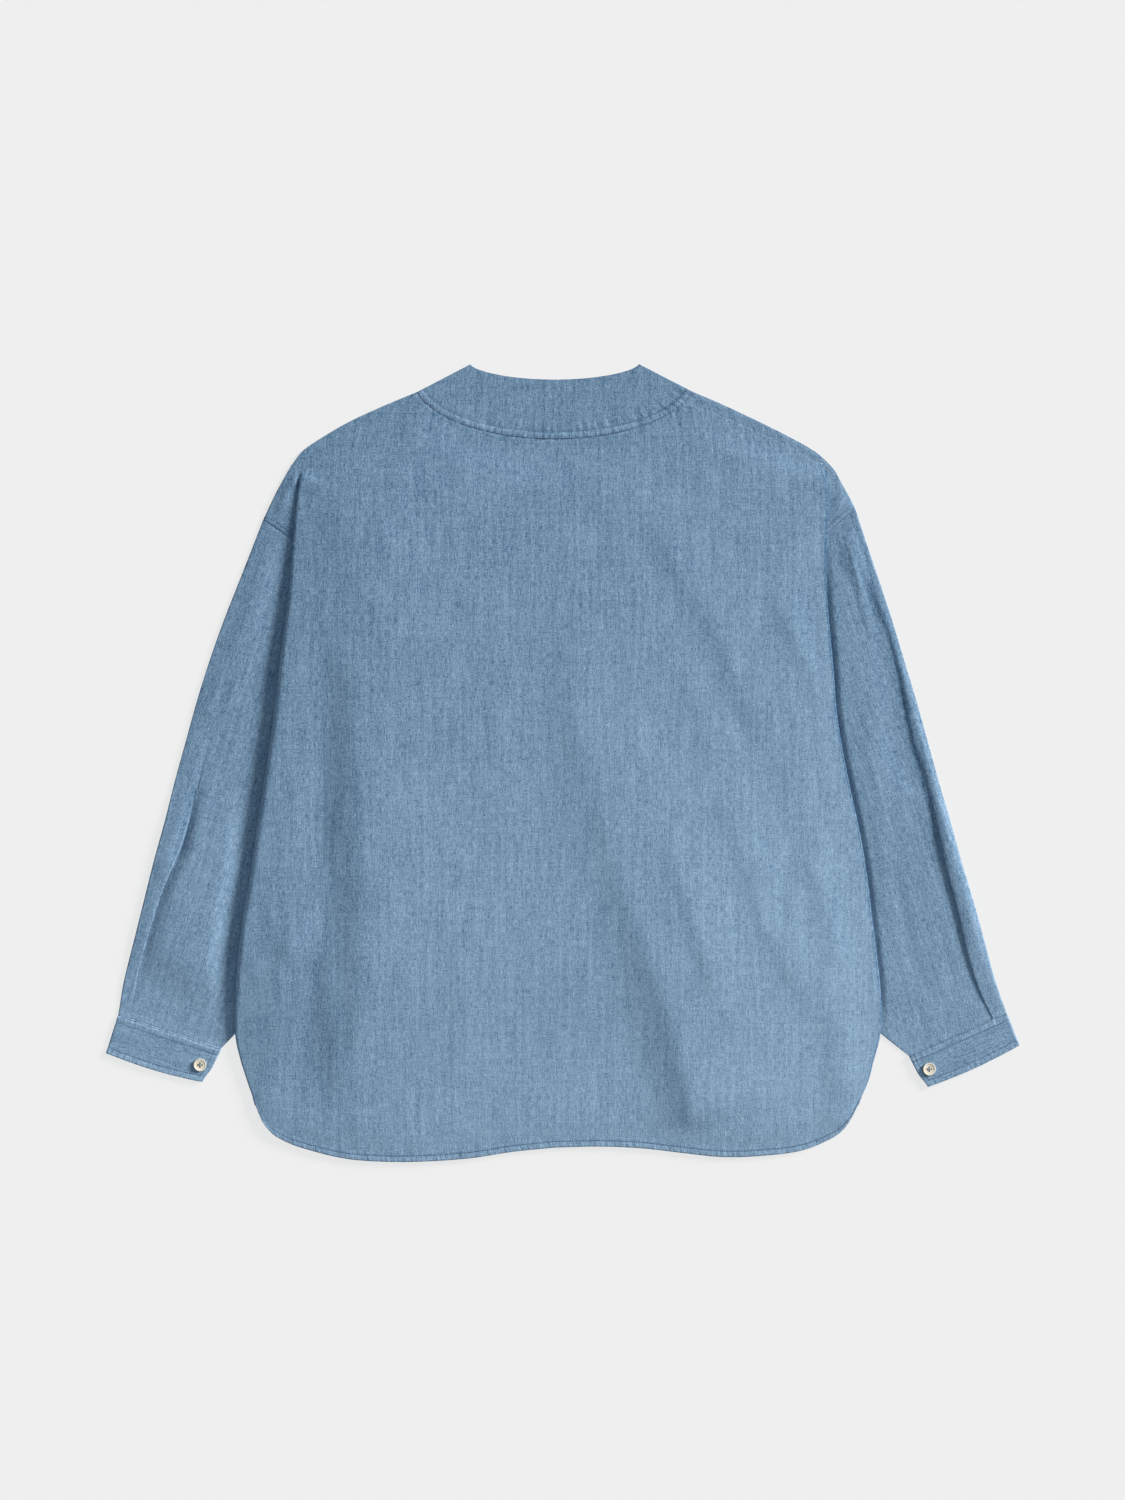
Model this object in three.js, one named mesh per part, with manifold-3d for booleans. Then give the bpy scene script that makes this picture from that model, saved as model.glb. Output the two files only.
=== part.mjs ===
// A denim shirt laid face down on a flat surface, in millimetres, +Z up.
// The hem is towards -Y, the neck towards +Y, and the back panel is the upper side.
// Left is -X. Widths in the tables are measured outwards from the centre line of the body.

import * as THREE from 'three';
import Module from 'manifold-3d';
import { mergeVertices } from 'three/addons/utils/BufferGeometryUtils.js';

// Cloth
const CLOTH = 1.2;
const GAP = 0.3;
const LAYER = CLOTH + GAP;
const LOW = CLOTH / 2;
const TOP = LOW + LAYER;
const UNDER = TOP + LAYER;
const CREASE = LAYER / 2;
const FLAT_ANGLE = 0.01;
const SHORTEST = 0.5;

// Body
const CENTRE = -8;
const SIDES = { left: -1, right: 1 };
const UNDERARM_Y = 41;
const CORNER_Y = -281;
const HEM_TURN_Y = -325;

// Shoulder: half widths of the body from the neck seam down to the armhole
const SHOULDER = [
  { y: 353, left: 130, right: 131 },
  { y: 341, left: 159, right: 159 },
  { y: 325, left: 194, right: 193 },
  { y: 310, left: 220, right: 223 },
  { y: 297, left: 239, right: 246 },
  { y: 287, left: 247, right: 258 },
  { y: 278, left: 253, right: 266 },
  { y: 269, left: 258, right: 271 },
  { y: 260, left: 263, right: 276 },
  { y: 250, left: 268, right: 281.5 },
];

// Armhole seam: the top of the sleeve, where the fold crosses it, the crease, the middle and the underarm
const ARMHOLE = {
  left: [
    { x: 275, y: 235 },
    { x: 248.5, y: 216 },
    { x: 218, y: 179 },
    { x: 194, y: 117 },
    { x: 185, y: UNDERARM_Y },
  ],
  right: [
    { x: 284, y: 245 },
    { x: 260, y: 223 },
    { x: 228, y: 179 },
    { x: 206, y: 117 },
    { x: 197, y: UNDERARM_Y },
  ],
};
const ARM = { top: 0, cross: 1, crease: 2, middle: 3, underarm: 4 };
const SIDE_SEAM = { left: { top: 185, bottom: 278 }, right: { top: 197, bottom: 286 } };

// Where the back panel folds over the sleeve: the folded edge that shows
const FOLD = [
  { y: 279, left: 239, right: 252 },
  { y: 262, left: 243, right: 259 },
  { y: 246, left: 245, right: 261 },
  { y: 222, left: 247, right: 259 },
  { y: 193, left: 249.5, right: 258 },
  { y: 155, left: 253, right: 259 },
  { y: 101, left: 260, right: 264 },
  { y: 41, left: 267, right: 269 },
  { y: -20, left: 276, right: 280 },
  { y: -66, left: 283, right: 290 },
  { y: -109, left: 289, right: 297 },
  { y: -142, left: 295, right: 301 },
  { y: -182, left: 300, right: 306 },
  { y: -225, left: 303, right: 310 },
  { y: -259, left: 303, right: 309 },
  { y: -282, left: 298, right: 303 },
  { y: -301, left: 292, right: 298 },
  { y: -325, left: 284.5, right: 288.5 },
  { y: -380, left: 284.5, right: 288.5 },
];
// apex is where the fold starts, flat is where it is folded right over, roll is its radius at the edge
const FOLD_FORM = {
  left: { apex: 284, flat: 254, inset: 14, roll: 2.2 },
  right: { apex: 286, flat: 258, inset: 9, roll: 1.2 },
};
// Height below the armhole's crease over which the edge opens to its roll, and half the height blended at the apex
const ROLL_REACH = 120;
const APEX_BLEND = 10;
// How the upper layer falls inwards to the middle, and the lower layer falls past the sleeve's inner edge
const FALL = { width: 55, lead: 6 };
const SEAM_DROP = 13;
const SEAM_CLEAR = 8;

// Hem, as a share of the way from the centre line to the folded edge
const HEM = [
  { share: 0, left: -364.5, right: -364.5 },
  { share: 0.14, left: -368.5, right: -363.5 },
  { share: 0.28, left: -374.5, right: -365 },
  { share: 0.42, left: -377.5, right: -369.5 },
  { share: 0.56, left: -378, right: -373.5 },
  { share: 0.7, left: -375, right: -372 },
  { share: 0.82, left: -369, right: -368.5 },
  { share: 0.9, left: -361.5, right: -360 },
  { share: 0.95, left: -353, right: -350 },
  { share: 0.98, left: -342, right: -338 },
  { share: 1, left: HEM_TURN_Y, right: HEM_TURN_Y },
];
const FRONT_HEM_RISE = 3;
const HEM_SPREAD = 1.6;

// Neck
const NECK = { halfWidth: 130, top: 353, arc: 134 };
// How deep the neck seam dips in the middle, and the height at which the rows below it are level again
const NECK_DIP = { back: { depth: 44, reach: 130 }, front: { depth: 190, reach: -200 } };
const BAND_GAP = 0.5;
const NECK_EDGE = { halfWidth: 80, top: 379, backDepth: 14.5, frontDepth: 165 };

// Outer edge of the sleeves, from the armhole to the cuff
const SLEEVE_OUTER = [
  { y: 212, left: 284, right: 295 },
  { y: 174, left: 299, right: 308 },
  { y: 136, left: 314, right: 320.5 },
  { y: 98, left: 327.5, right: 332 },
  { y: 60, left: 339.5, right: 343.5 },
  { y: 22, left: 350, right: 354 },
  { y: -16, left: 360.5, right: 364.5 },
  { y: -54, left: 370, right: 375.5 },
  { y: -92, left: 380.5, right: 386 },
  { y: -130, left: 390, right: 397.5 },
  { y: -168, left: 399.5, right: 408 },
  { y: -206, left: 409, right: 418.5 },
];
// Inner edge of the sleeves, under the body
const SLEEVE_INNER = {
  left: [
    { x: 242, y: -82 },
    { x: 272, y: -177 },
    { x: 302.5, y: -256 },
  ],
  right: [
    { x: 256, y: -82 },
    { x: 286, y: -177 },
    { x: 309, y: -256 },
  ],
};
const CUFF = {
  left: {
    topOuter: { x: 415, y: -240 },
    topInner: { x: 317, y: -272 },
    endOuter: { x: 426, y: -275 },
    endInner: { x: 332, y: -303 },
  },
  right: {
    topOuter: { x: 430, y: -238 },
    topInner: { x: 337, y: -279 },
    endOuter: { x: 441.5, y: -267.5 },
    endInner: { x: 352, y: -308 },
  },
};
const CUFF_WALL = 1.6;
const CUFF_GAP = GAP * 1.5;
const CUFF_BOW = 2.5;
const CUFF_CORNER = { size: 2.4, start: 0.9, down: 0.5, slope: 0.4 };

// Pleat beside the outer edge of each sleeve: its distance from that edge along the sleeve
const PLEAT = [
  { along: 0, left: 24, right: 14 },
  { along: 0.45, left: 24, right: 14 },
  { along: 0.62, left: 25, right: 17 },
  { along: 0.75, left: 16, right: 19 },
  { along: 0.88, left: 12.5, right: 20 },
  { along: 1, left: 12.5, right: 15 },
];
const PLEAT_FORM = { start: 0.5, flat: 0.76, depth: 7 };
const HEAD_GAP = 0.6;
const ARMHOLE_REACH = 0.35;
// The sleeve's upper layer is raised in the middle, and flat near the body and at both ends
const SLEEVE_AIR = { high: 3, bodyGap: 6, bodyWidth: 30, head: 0.12, cuff: 0.15 };

// Soft folds over the back: a line from (x0, y0) to (x1, y1), its half width and its height
const BACK_AIR = 2.4;
// The folds die out within this distance of an edge: each row from the neck, the folded edge and the hem lead in
const EDGE_CALM = { width: 55, row: 12, edge: 8, hem: 160, least: 6 };
const BACK_FOLDS = [
  { x0: -205, y0: 190, x1: -198, y1: 20, wide: 26, high: -1.6 },
  { x0: -198, y0: 20, x1: -215, y1: -130, wide: 22, high: -1.9 },
  { x0: -215, y0: -130, x1: -262, y1: -225, wide: 20, high: -1.8 },
  { x0: -215, y0: -130, x1: -200, y1: -320, wide: 24, high: -1.8 },
  { x0: 65, y0: 250, x1: 180, y1: 30, wide: 24, high: -1.5 },
  { x0: 180, y0: 165, x1: 254, y1: -10, wide: 20, high: -1.6 },
  { x0: -8, y0: 95, x1: 37, y1: -120, wide: 22, high: -1.3 },
  { x0: 37, y0: -120, x1: 88, y1: -350, wide: 20, high: -2.2 },
  { x0: 100, y0: 120, x1: 129, y1: 37, wide: 18, high: 2.4 },
  { x0: -120, y0: 150, x1: -110, y1: -250, wide: 40, high: 2.2 },
  { x0: 0, y0: -150, x1: -15, y1: -300, wide: 36, high: 2.4 },
  { x0: 190, y0: -180, x1: 230, y1: -310, wide: 30, high: 2.4 },
];

// Buttons
const BUTTON = { radius: 6, high: 2.6, rim: 1.2, dish: 0.7, sides: 24 };
const BUTTON_ROUND = { foot: 0.7, side: 0.6, top: 0.5, bowl: 0.6 };
const HOLES = { count: 4, radius: 0.85, ring: 1.9, sides: 10 };
const BUTTON_AT = { left: { x: 336, y: -286 }, right: { x: 356, y: -290 } };

const COLOURS = { body: 0x7794af, sleeve: 0x7a93ab, cuff: 0x7590a6, band: 0x728ea9, button: 0xe6dcc4 };

const clamp = THREE.MathUtils.clamp;
const mix = THREE.MathUtils.lerp;
const ease = (value) => THREE.MathUtils.smoothstep(value, 0, 1);

// Reads a column of a table at a place, straight between rows
function read(table, key, place, column) {
  const falling = table[0][key] > table[table.length - 1][key];
  const rows = falling ? [...table].reverse() : table;
  const value = clamp(place, rows[0][key], rows[rows.length - 1][key]);
  let row = 0;
  while (row < rows.length - 2 && rows[row + 1][key] < value) row += 1;
  const share = (value - rows[row][key]) / (rows[row + 1][key] - rows[row][key]);
  return mix(rows[row][column], rows[row + 1][column], share);
}

const placed = (side, out) => CENTRE + SIDES[side] * out;

// A cloth that turns down through an angle, runs for a length, and turns back level.
// Both turns keep their length, so a fold can open from flat. Gives the run outwards and the drop.
function foldAt(along, form) {
  const { angle, upper, length, lower } = form;
  if (angle < FLAT_ANGLE || along <= 0) return { run: along, drop: 0 };
  const turn = (arc, radius) => ({ run: radius * Math.sin(arc), drop: radius * (1 - Math.cos(arc)) });
  const first = turn(Math.min(along / upper, 1) * angle, upper / angle);
  if (along <= upper) return first;
  const straight = Math.min(along - upper, length);
  const run = first.run + straight * Math.cos(angle);
  const drop = first.drop + straight * Math.sin(angle);
  if (along <= upper + length) return { run, drop };
  const radius = lower / angle;
  const left = angle * (1 - Math.min((along - upper - length) / lower, 1));
  const beyond = Math.max(along - upper - length - lower, 0);
  return {
    run: run + radius * (Math.sin(angle) - Math.sin(left)) + beyond,
    drop: drop + radius * (Math.cos(left) - Math.cos(angle)),
  };
}

// How far a fold's upper turn reaches outwards
function foldReach(form) {
  if (form.angle < FLAT_ANGLE) return 0;
  return (form.upper / form.angle) * Math.sin(Math.min(form.angle, Math.PI / 2));
}

// Half width of the body at a height, down the shoulder and the armhole
function shoulderEdge(side, y) {
  const points = [...SHOULDER.map((row) => ({ y: row.y, x: row[side] })), ...ARMHOLE[side]];
  return read(points, 'y', y, 'x');
}

// Half width at the seam under the fold: the armhole, the side seam, then out to the folded edge at the hem
function seamAt(side, y) {
  const crease = ARMHOLE[side][ARM.crease];
  if (y >= UNDERARM_Y) return read(ARMHOLE[side], 'y', Math.min(y, crease.y), 'x');
  const seam = SIDE_SEAM[side];
  if (y >= CORNER_Y) return mix(seam.top, seam.bottom, (UNDERARM_Y - y) / (UNDERARM_Y - CORNER_Y));
  const share = clamp((CORNER_Y - y) / (CORNER_Y - HEM_TURN_Y), 0, 1);
  return mix(seam.bottom, read(FOLD, 'y', HEM_TURN_Y, side), share);
}

// The back panel's fold over the sleeve at a height
function bodyFold(side, y) {
  const shape = FOLD_FORM[side];
  const crease = ARMHOLE[side][ARM.crease];
  const edge = y > shape.apex ? shoulderEdge(side, y) - shape.inset : read(FOLD, 'y', y, side);
  const angle = Math.PI * ease((shape.apex - y) / (shape.apex - shape.flat));
  const roll = mix(CREASE, shape.roll, ease((crease.y - y) / ROLL_REACH));
  const form = { angle, upper: Math.PI * roll, lower: Math.PI * CREASE, length: SHORTEST };
  const start = edge - foldReach(form) - LOW;
  if (y < crease.y) {
    form.length = Math.max(start - seamAt(side, y), SHORTEST);
  } else {
    const full = read(FOLD, 'y', crease.y, side) - CREASE - LOW - crease.x;
    form.length = mix(SHORTEST, full, clamp((shape.flat - y) / (shape.flat - crease.y), 0, 1));
  }
  const whole = form.upper + form.length + form.lower;
  let cut = form.upper + form.length;
  if (y >= crease.y) {
    cut = whole + Math.max(shoulderEdge(side, y) - start - foldAt(whole, form).run, 0);
  }
  const rise = y < crease.y ? UNDER - TOP + 2 * roll : foldAt(whole, form).drop;
  return { ...form, start, whole, cut, rise };
}

function innerSleeveEdge(side, y) {
  const path = [ARMHOLE[side][ARM.underarm], ...SLEEVE_INNER[side]];
  return read(path, 'y', y, 'x');
}

// Distance from a point to a line between two points
function toLine(x, y, line) {
  const dx = line.x1 - line.x0;
  const dy = line.y1 - line.y0;
  const near = clamp(((x - line.x0) * dx + (y - line.y0) * dy) / (dx * dx + dy * dy), 0, 1);
  return Math.hypot(x - line.x0 - near * dx, y - line.y0 - near * dy);
}

// Height of the back panel's air and folds at a point
function backRelief(x, y, toEdge) {
  let high = BACK_AIR;
  for (const fold of BACK_FOLDS) {
    const away = toLine(x, y, fold) / fold.wide;
    high += fold.high * Math.exp(-away * away);
  }
  return Math.max(high, 0) * ease(toEdge / EDGE_CALM.width);
}

// Adds thickness to a grid of points, as rows of Vector3, and closes it. A ring joins its last column to its first.
function wall(rows, thick, ring = false) {
  const high = rows.length;
  const wide = rows[0].length;
  const column = (i) => (ring ? (i + wide) % wide : clamp(i, 0, wide - 1));
  const half = thick / 2;
  const points = [];
  for (const way of [1, -1]) {
    for (let j = 0; j < high; j += 1) {
      for (let i = 0; i < wide; i += 1) {
        const across = rows[j][column(i + 1)].clone().sub(rows[j][column(i - 1)]);
        const down = rows[Math.min(j + 1, high - 1)][i].clone().sub(rows[Math.max(j - 1, 0)][i]);
        const normal = across.cross(down).normalize();
        points.push(rows[j][i].clone().addScaledVector(normal, way * half));
      }
    }
  }
  const at = (layer, j, i) => layer * high * wide + j * wide + column(i);
  const faces = [];
  const quad = (a, b, c, d) => faces.push(a, b, c, a, c, d);
  const spans = ring ? wide : wide - 1;
  for (let j = 0; j < high - 1; j += 1) {
    for (let i = 0; i < spans; i += 1) {
      quad(at(0, j, i), at(0, j, i + 1), at(0, j + 1, i + 1), at(0, j + 1, i));
      quad(at(1, j, i), at(1, j + 1, i), at(1, j + 1, i + 1), at(1, j, i + 1));
    }
    if (!ring) {
      quad(at(0, j, 0), at(0, j + 1, 0), at(1, j + 1, 0), at(1, j, 0));
      quad(at(0, j, wide - 1), at(1, j, wide - 1), at(1, j + 1, wide - 1), at(0, j + 1, wide - 1));
    }
  }
  const last = high - 1;
  for (let i = 0; i < spans; i += 1) {
    quad(at(0, 0, i), at(1, 0, i), at(1, 0, i + 1), at(0, 0, i + 1));
    quad(at(0, last, i), at(0, last, i + 1), at(1, last, i + 1), at(1, last, i));
  }
  const geometry = new THREE.BufferGeometry();
  geometry.setAttribute('position', new THREE.Float32BufferAttribute(points.flatMap((p) => p.toArray()), 3));
  geometry.setIndex(faces);
  return outward(geometry);
}

// Turns the faces round when the enclosed volume comes out negative
function outward(geometry) {
  const place = geometry.attributes.position;
  const index = geometry.index.array;
  const [a, b, c] = [new THREE.Vector3(), new THREE.Vector3(), new THREE.Vector3()];
  let volume = 0;
  for (let k = 0; k < index.length; k += 3) {
    a.fromBufferAttribute(place, index[k]);
    b.fromBufferAttribute(place, index[k + 1]);
    c.fromBufferAttribute(place, index[k + 2]);
    volume += a.dot(b.cross(c));
  }
  if (volume < 0) {
    const turned = Array.from(index);
    for (let k = 0; k < turned.length; k += 3) [turned[k], turned[k + 1]] = [turned[k + 1], turned[k]];
    geometry.setIndex(turned);
  }
  geometry.computeVertexNormals();
  return geometry;
}

// Curve of the back neck seam: 0 at the shoulder, 1 at the centre
function neckShare(out) {
  const far = NECK.halfWidth / NECK.arc;
  const end = Math.sqrt(1 - far * far);
  const here = Math.sqrt(Math.max(1 - (far * out) ** 2, 0));
  return (here - end) / (1 - end);
}

const ARMHOLE_STEPS = 2;

// Rows of the body: the end of each row on the shoulder, the armhole or the side seam
function rowEnds(lowerRows) {
  const ends = [];
  for (const row of SHOULDER) {
    ends.push({ left: { x: row.left, y: row.y }, right: { x: row.right, y: row.y }, hem: 0 });
  }
  const { left, right } = ARMHOLE;
  for (let k = 0; k < left.length; k += 1) {
    const steps = k === ARM.top ? 1 : ARMHOLE_STEPS;
    for (let step = 1; step <= steps; step += 1) {
      const share = step / steps;
      const end = (points) => {
        const from = points[Math.max(k - 1, 0)];
        return { x: mix(from.x, points[k].x, share), y: mix(from.y, points[k].y, share) };
      };
      ends.push({ left: end(left), right: end(right), hem: 0 });
    }
  }
  for (const share of lowerRows) {
    const end = (side) => ({
      x: mix(SIDE_SEAM[side].top, SIDE_SEAM[side].bottom, share),
      y: mix(UNDERARM_Y, CORNER_Y, share),
    });
    ends.push({ left: end('left'), right: end('right'), hem: share ** HEM_SPREAD });
  }
  return ends;
}

const MAIN_COLUMNS = [1, 0.975, 0.94, 0.88, 0.79, 0.67, 0.52, 0.36, 0.18, 0];
const BACK_ROWS = [0.1, 0.2, 0.31, 0.42, 0.53, 0.64, 0.75, 0.85, 0.93, 1];
const TURN_COLUMNS = [1, 2 / 3, 1 / 3, 0];
const UNDER_COLUMN = 0.38;
// Least distance between the columns near the seam, above and below the underarm
const NARROW = { above: 0.6, below: 3, shareOfUnder: 1 / 7 };

// Height of a row of the body at its centre line
function centreHeight(end, dip) {
  const mean = (end.left.y + end.right.y) / 2;
  const share = clamp((mean - dip.reach) / (NECK.top - dip.reach), 0, 1);
  return mean - dip.depth * share;
}

// The fold is read at a point's own height, but above its start at the height of the row's end
function foldHeight(side, rowY, y) {
  return mix(y, rowY, ease((rowY - FOLD_FORM[side].apex + APEX_BLEND) / (2 * APEX_BLEND)));
}

// Half of one row of the back panel, from the seam to the centre line
function backHalfRow(side, end, j) {
  const seam = end[side];
  const middle = centreHeight(end, NECK_DIP.back);
  const fold = bodyFold(side, seam.y);
  const keys = [fold.cut, (fold.whole + fold.cut) / 2];
  for (const share of TURN_COLUMNS) keys.push(fold.upper + fold.length + fold.lower * share);
  keys.push(fold.upper + fold.length * UNDER_COLUMN);
  for (const share of TURN_COLUMNS.slice(0, -1)) keys.push(fold.upper * share);
  const furthest = fold.start + fold.cut;
  const below = Math.min(NARROW.below, fold.length * NARROW.shareOfUnder);
  const narrow = seam.y < UNDERARM_Y ? below : NARROW.above;
  const height = (out, hemDrop) => {
    const plain = seam.y + (middle - seam.y) * neckShare(out / furthest) * (1 - end.hem);
    return plain + end.hem * hemDrop;
  };
  const turnDrop = HEM_TURN_Y - CORNER_Y;
  const points = [];
  for (let i = 0; i < keys.length; i += 1) {
    const along = Math.min(keys[i], fold.cut - narrow * i);
    const y = height(fold.start + along, turnDrop * (1 - Math.max(along, 0) / fold.cut));
    const here = bodyFold(side, foldHeight(side, seam.y, y));
    const bend = foldAt(along, { ...here, length: fold.length });
    const out = here.start + bend.run;
    let z = TOP + here.rise - bend.drop;
    if (y < ARMHOLE[side][ARM.middle].y && along > here.upper) {
      z -= LAYER * ease((innerSleeveEdge(side, y) - SEAM_CLEAR - out) / SEAM_DROP);
    }
    points.push(new THREE.Vector3(placed(side, out), y, z));
  }
  const edgeY = height(fold.start, turnDrop);
  const lastKey = Math.min(0, fold.cut - narrow * keys.length);
  const edge = bodyFold(side, foldHeight(side, seam.y, edgeY)).start + lastKey;
  for (const share of MAIN_COLUMNS) {
    const out = edge * share;
    const y = height(out, read(HEM, 'share', share, side) - CORNER_Y);
    const here = bodyFold(side, foldHeight(side, seam.y, y));
    const bottom = y < ARMHOLE[side][ARM.crease].y ? seamAt(side, y) : here.start + foldAt(here.whole, here).run;
    const lifted = ease((out - (bottom - FALL.lead - FALL.width)) / FALL.width);
    const fromHem = (1 - end.hem) * EDGE_CALM.hem + EDGE_CALM.least;
    const calm = Math.min(j * EDGE_CALM.row, edge - out + EDGE_CALM.edge, fromHem);
    const relief = backRelief(placed(side, out), y, calm);
    points.push(new THREE.Vector3(placed(side, out), y, TOP + here.rise * lifted + relief));
  }
  return points;
}

function backRows() {
  return rowEnds(BACK_ROWS).map((end, j) => {
    const left = backHalfRow('left', end, j);
    const right = backHalfRow('right', end, j).reverse();
    return [...left, ...right.slice(1)];
  });
}

const FRONT_COLUMNS = [1, 0.985, 0.95, 0.88, 0.76, 0.6, 0.42, 0.22, 0];
const FRONT_ROWS = [0.14, 0.3, 0.46, 0.62, 0.76, 0.87, 0.95, 1];

function frontRows() {
  return rowEnds(FRONT_ROWS).map((end) => {
    const middle = centreHeight(end, NECK_DIP.front);
    const half = (side) =>
      FRONT_COLUMNS.map((share) => {
        const level = ease((NECK.top - end[side].y) / (NECK.top - ARMHOLE[side][ARM.top].y));
        const curve = mix(Math.sqrt(Math.max(1 - share * share, 0)), ease(1 - share), level);
        const plain = end[side].y + (middle - end[side].y) * curve * (1 - end.hem);
        const hem = read(HEM, 'share', share, side) + FRONT_HEM_RISE - CORNER_Y;
        const drop = share === 1 ? 0 : end.hem * hem;
        return new THREE.Vector3(placed(side, end[side].x * share), plain + drop, LOW);
      });
    return [...half('left'), ...half('right').reverse().slice(1)];
  });
}

// A point a share of the way along a path of points, by its length
function walk(path, share) {
  const steps = [];
  for (let k = 1; k < path.length; k += 1) {
    steps.push(Math.hypot(path[k].x - path[k - 1].x, path[k].y - path[k - 1].y));
  }
  let left = share * steps.reduce((sum, step) => sum + step, 0);
  let k = 0;
  while (k < steps.length - 1 && left > steps[k]) {
    left -= steps[k];
    k += 1;
  }
  const part = left / steps[k];
  return { x: mix(path[k].x, path[k + 1].x, part), y: mix(path[k].y, path[k + 1].y, part) };
}

// The armhole moved out by the gap at the seam
function sleeveHead(side) {
  const points = ARMHOLE[side];
  return points.map((point, k) => {
    const from = points[Math.max(k - 1, 0)];
    const to = points[Math.min(k + 1, points.length - 1)];
    const length = Math.hypot(to.x - from.x, to.y - from.y);
    return {
      x: point.x + (HEAD_GAP * (from.y - to.y)) / length,
      y: point.y - (HEAD_GAP * (from.x - to.x)) / length,
    };
  });
}

// Columns round a sleeve: shares of its width on either layer, and shares of the armhole for those beside the pleat
const UPPER_SPREAD = [0.16, 0.34, 0.5, 0.76];
const LOWER_SPREAD = [0.76, 0.5, 0.2];
const PLEAT_HEAD = { strip: [0.06, 0.2], upper: [0.34, 0.4, 0.46, 0.52], lower: [0.64, 0.7, 0.76, 0.82] };
const INNER_HEAD = { fold: 0.99, edge: 0.996 };
const CREST_COLUMN = 0.6;
const LAST_UPPER = 12;
const ROUND = [0.25, 0.5, 0.75];
const SLEEVE_STATIONS = [0, 0.05, 0.11, 0.18, 0.26, 0.34, 0.43, 0.52, 0.6, 0.67, 0.73, 0.79, 0.85, 0.91, 0.96, 1];

// The fold of a sleeve's pleat at a share of its length
function pleatForm(t) {
  const angle = Math.PI * ease((t - PLEAT_FORM.start) / (PLEAT_FORM.flat - PLEAT_FORM.start));
  const deep = mix(SHORTEST, PLEAT_FORM.depth, clamp((t - PLEAT_FORM.flat) / (1 - PLEAT_FORM.flat), 0, 1));
  return { angle, upper: Math.PI * CREASE, lower: Math.PI * CREASE, length: deep };
}

// Points across a sleeve: the distance from its outer edge, the height, and the share of the armhole
function sleeveSection(side, t, width, vertex) {
  const form = pleatForm(t);
  const whole = form.upper + form.length + form.lower;
  const { run, drop: rise } = foldAt(whole, form);
  const turn = (LAYER + rise) / 2;
  const start = read(PLEAT, 'along', t, side) - foldReach(form) - LOW;
  const clear = start + run;
  const room = width - CREASE - LOW;
  const [, top, cross, crease] = vertex;
  const section = [];
  const put = (away, z, share) => section.push({ away, z, share });
  const bent = (along, share) => {
    const bend = foldAt(along, form);
    put(start + bend.run, TOP + rise - bend.drop, share * top);
  };
  put(turn + LOW, TOP + rise, PLEAT_HEAD.strip[0] * top);
  put((turn + LOW + start) / 2, TOP + rise, PLEAT_HEAD.strip[1] * top);
  const turns = [...TURN_COLUMNS].reverse();
  turns.forEach((share, k) => bent(form.upper * share, PLEAT_HEAD.upper[k]));
  turns.forEach((share, k) => bent(form.upper + form.length + form.lower * share, PLEAT_HEAD.lower[k]));
  const upperShares = [top, mix(top, cross, CREST_COLUMN), cross, crease];
  UPPER_SPREAD.forEach((spread, k) => put(mix(clear, room, spread), TOP, upperShares[k]));
  put(room, TOP, INNER_HEAD.fold);
  put(width - LOW, (TOP + LOW) / 2, INNER_HEAD.edge);
  put(room, LOW, INNER_HEAD.fold);
  const lowerShares = [crease, cross, top];
  LOWER_SPREAD.forEach((spread, k) => put(mix(turn, room, spread), LOW, lowerShares[k]));
  const first = PLEAT_HEAD.strip[0] * top;
  put(turn + LOW, LOW, first);
  for (const bend of ROUND) {
    const arc = Math.PI * bend;
    put(LOW + turn - turn * Math.sin(arc), LOW + turn - turn * Math.cos(arc), first * (1 - Math.sin(arc)));
  }
  return section;
}

function sleeve(side) {
  const head = sleeveHead(side);
  const cuff = CUFF[side];
  const seam = (corner) => ({ x: corner.x, y: corner.y + CUFF_GAP });
  const outer = [head[0], ...SLEEVE_OUTER.map((row) => ({ x: row[side], y: row.y })), seam(cuff.topOuter)];
  const inner = [head[head.length - 1], ...SLEEVE_INNER[side], seam(cuff.topInner)];
  const along = [0];
  for (let k = 1; k < head.length; k += 1) {
    along.push(along[k - 1] + Math.hypot(head[k].x - head[k - 1].x, head[k].y - head[k - 1].y));
  }
  const vertex = along.map((length) => length / along[along.length - 1]);
  let first = null;
  const rows = SLEEVE_STATIONS.map((t) => {
    const from = walk(outer, t);
    const to = walk(inner, t);
    const width = Math.hypot(to.x - from.x, to.y - from.y);
    const section = sleeveSection(side, t, width, vertex);
    if (first === null) {
      first = section.map((point) => {
        const line = point.away / width;
        const sewn = walk(head, point.share);
        return { x: sewn.x - mix(from.x, to.x, line), y: sewn.y - mix(from.y, to.y, line) };
      });
    }
    const blend = Math.max(1 - t / ARMHOLE_REACH, 0) ** 2;
    const ends = ease(t / SLEEVE_AIR.head) * ease((1 - t) / SLEEVE_AIR.cuff);
    return section.map((point, k) => {
      const line = point.away / width;
      const x = mix(from.x, to.x, line) + blend * first[k].x;
      const y = mix(from.y, to.y, line) + blend * first[k].y;
      const clear = ease((x - bodyEdge(side, y) - SLEEVE_AIR.bodyGap) / SLEEVE_AIR.bodyWidth);
      const air = k > 0 && k <= LAST_UPPER ? SLEEVE_AIR.high * Math.sin(Math.PI * line) * clear * ends : 0;
      return new THREE.Vector3(placed(side, x), y, point.z + air);
    });
  });
  return wall(rows, CLOTH, true);
}

// Half width of the body at its visible edge
function bodyEdge(side, y) {
  return y > FOLD[0].y ? shoulderEdge(side, y) : read(FOLD, 'y', y, side);
}

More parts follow.
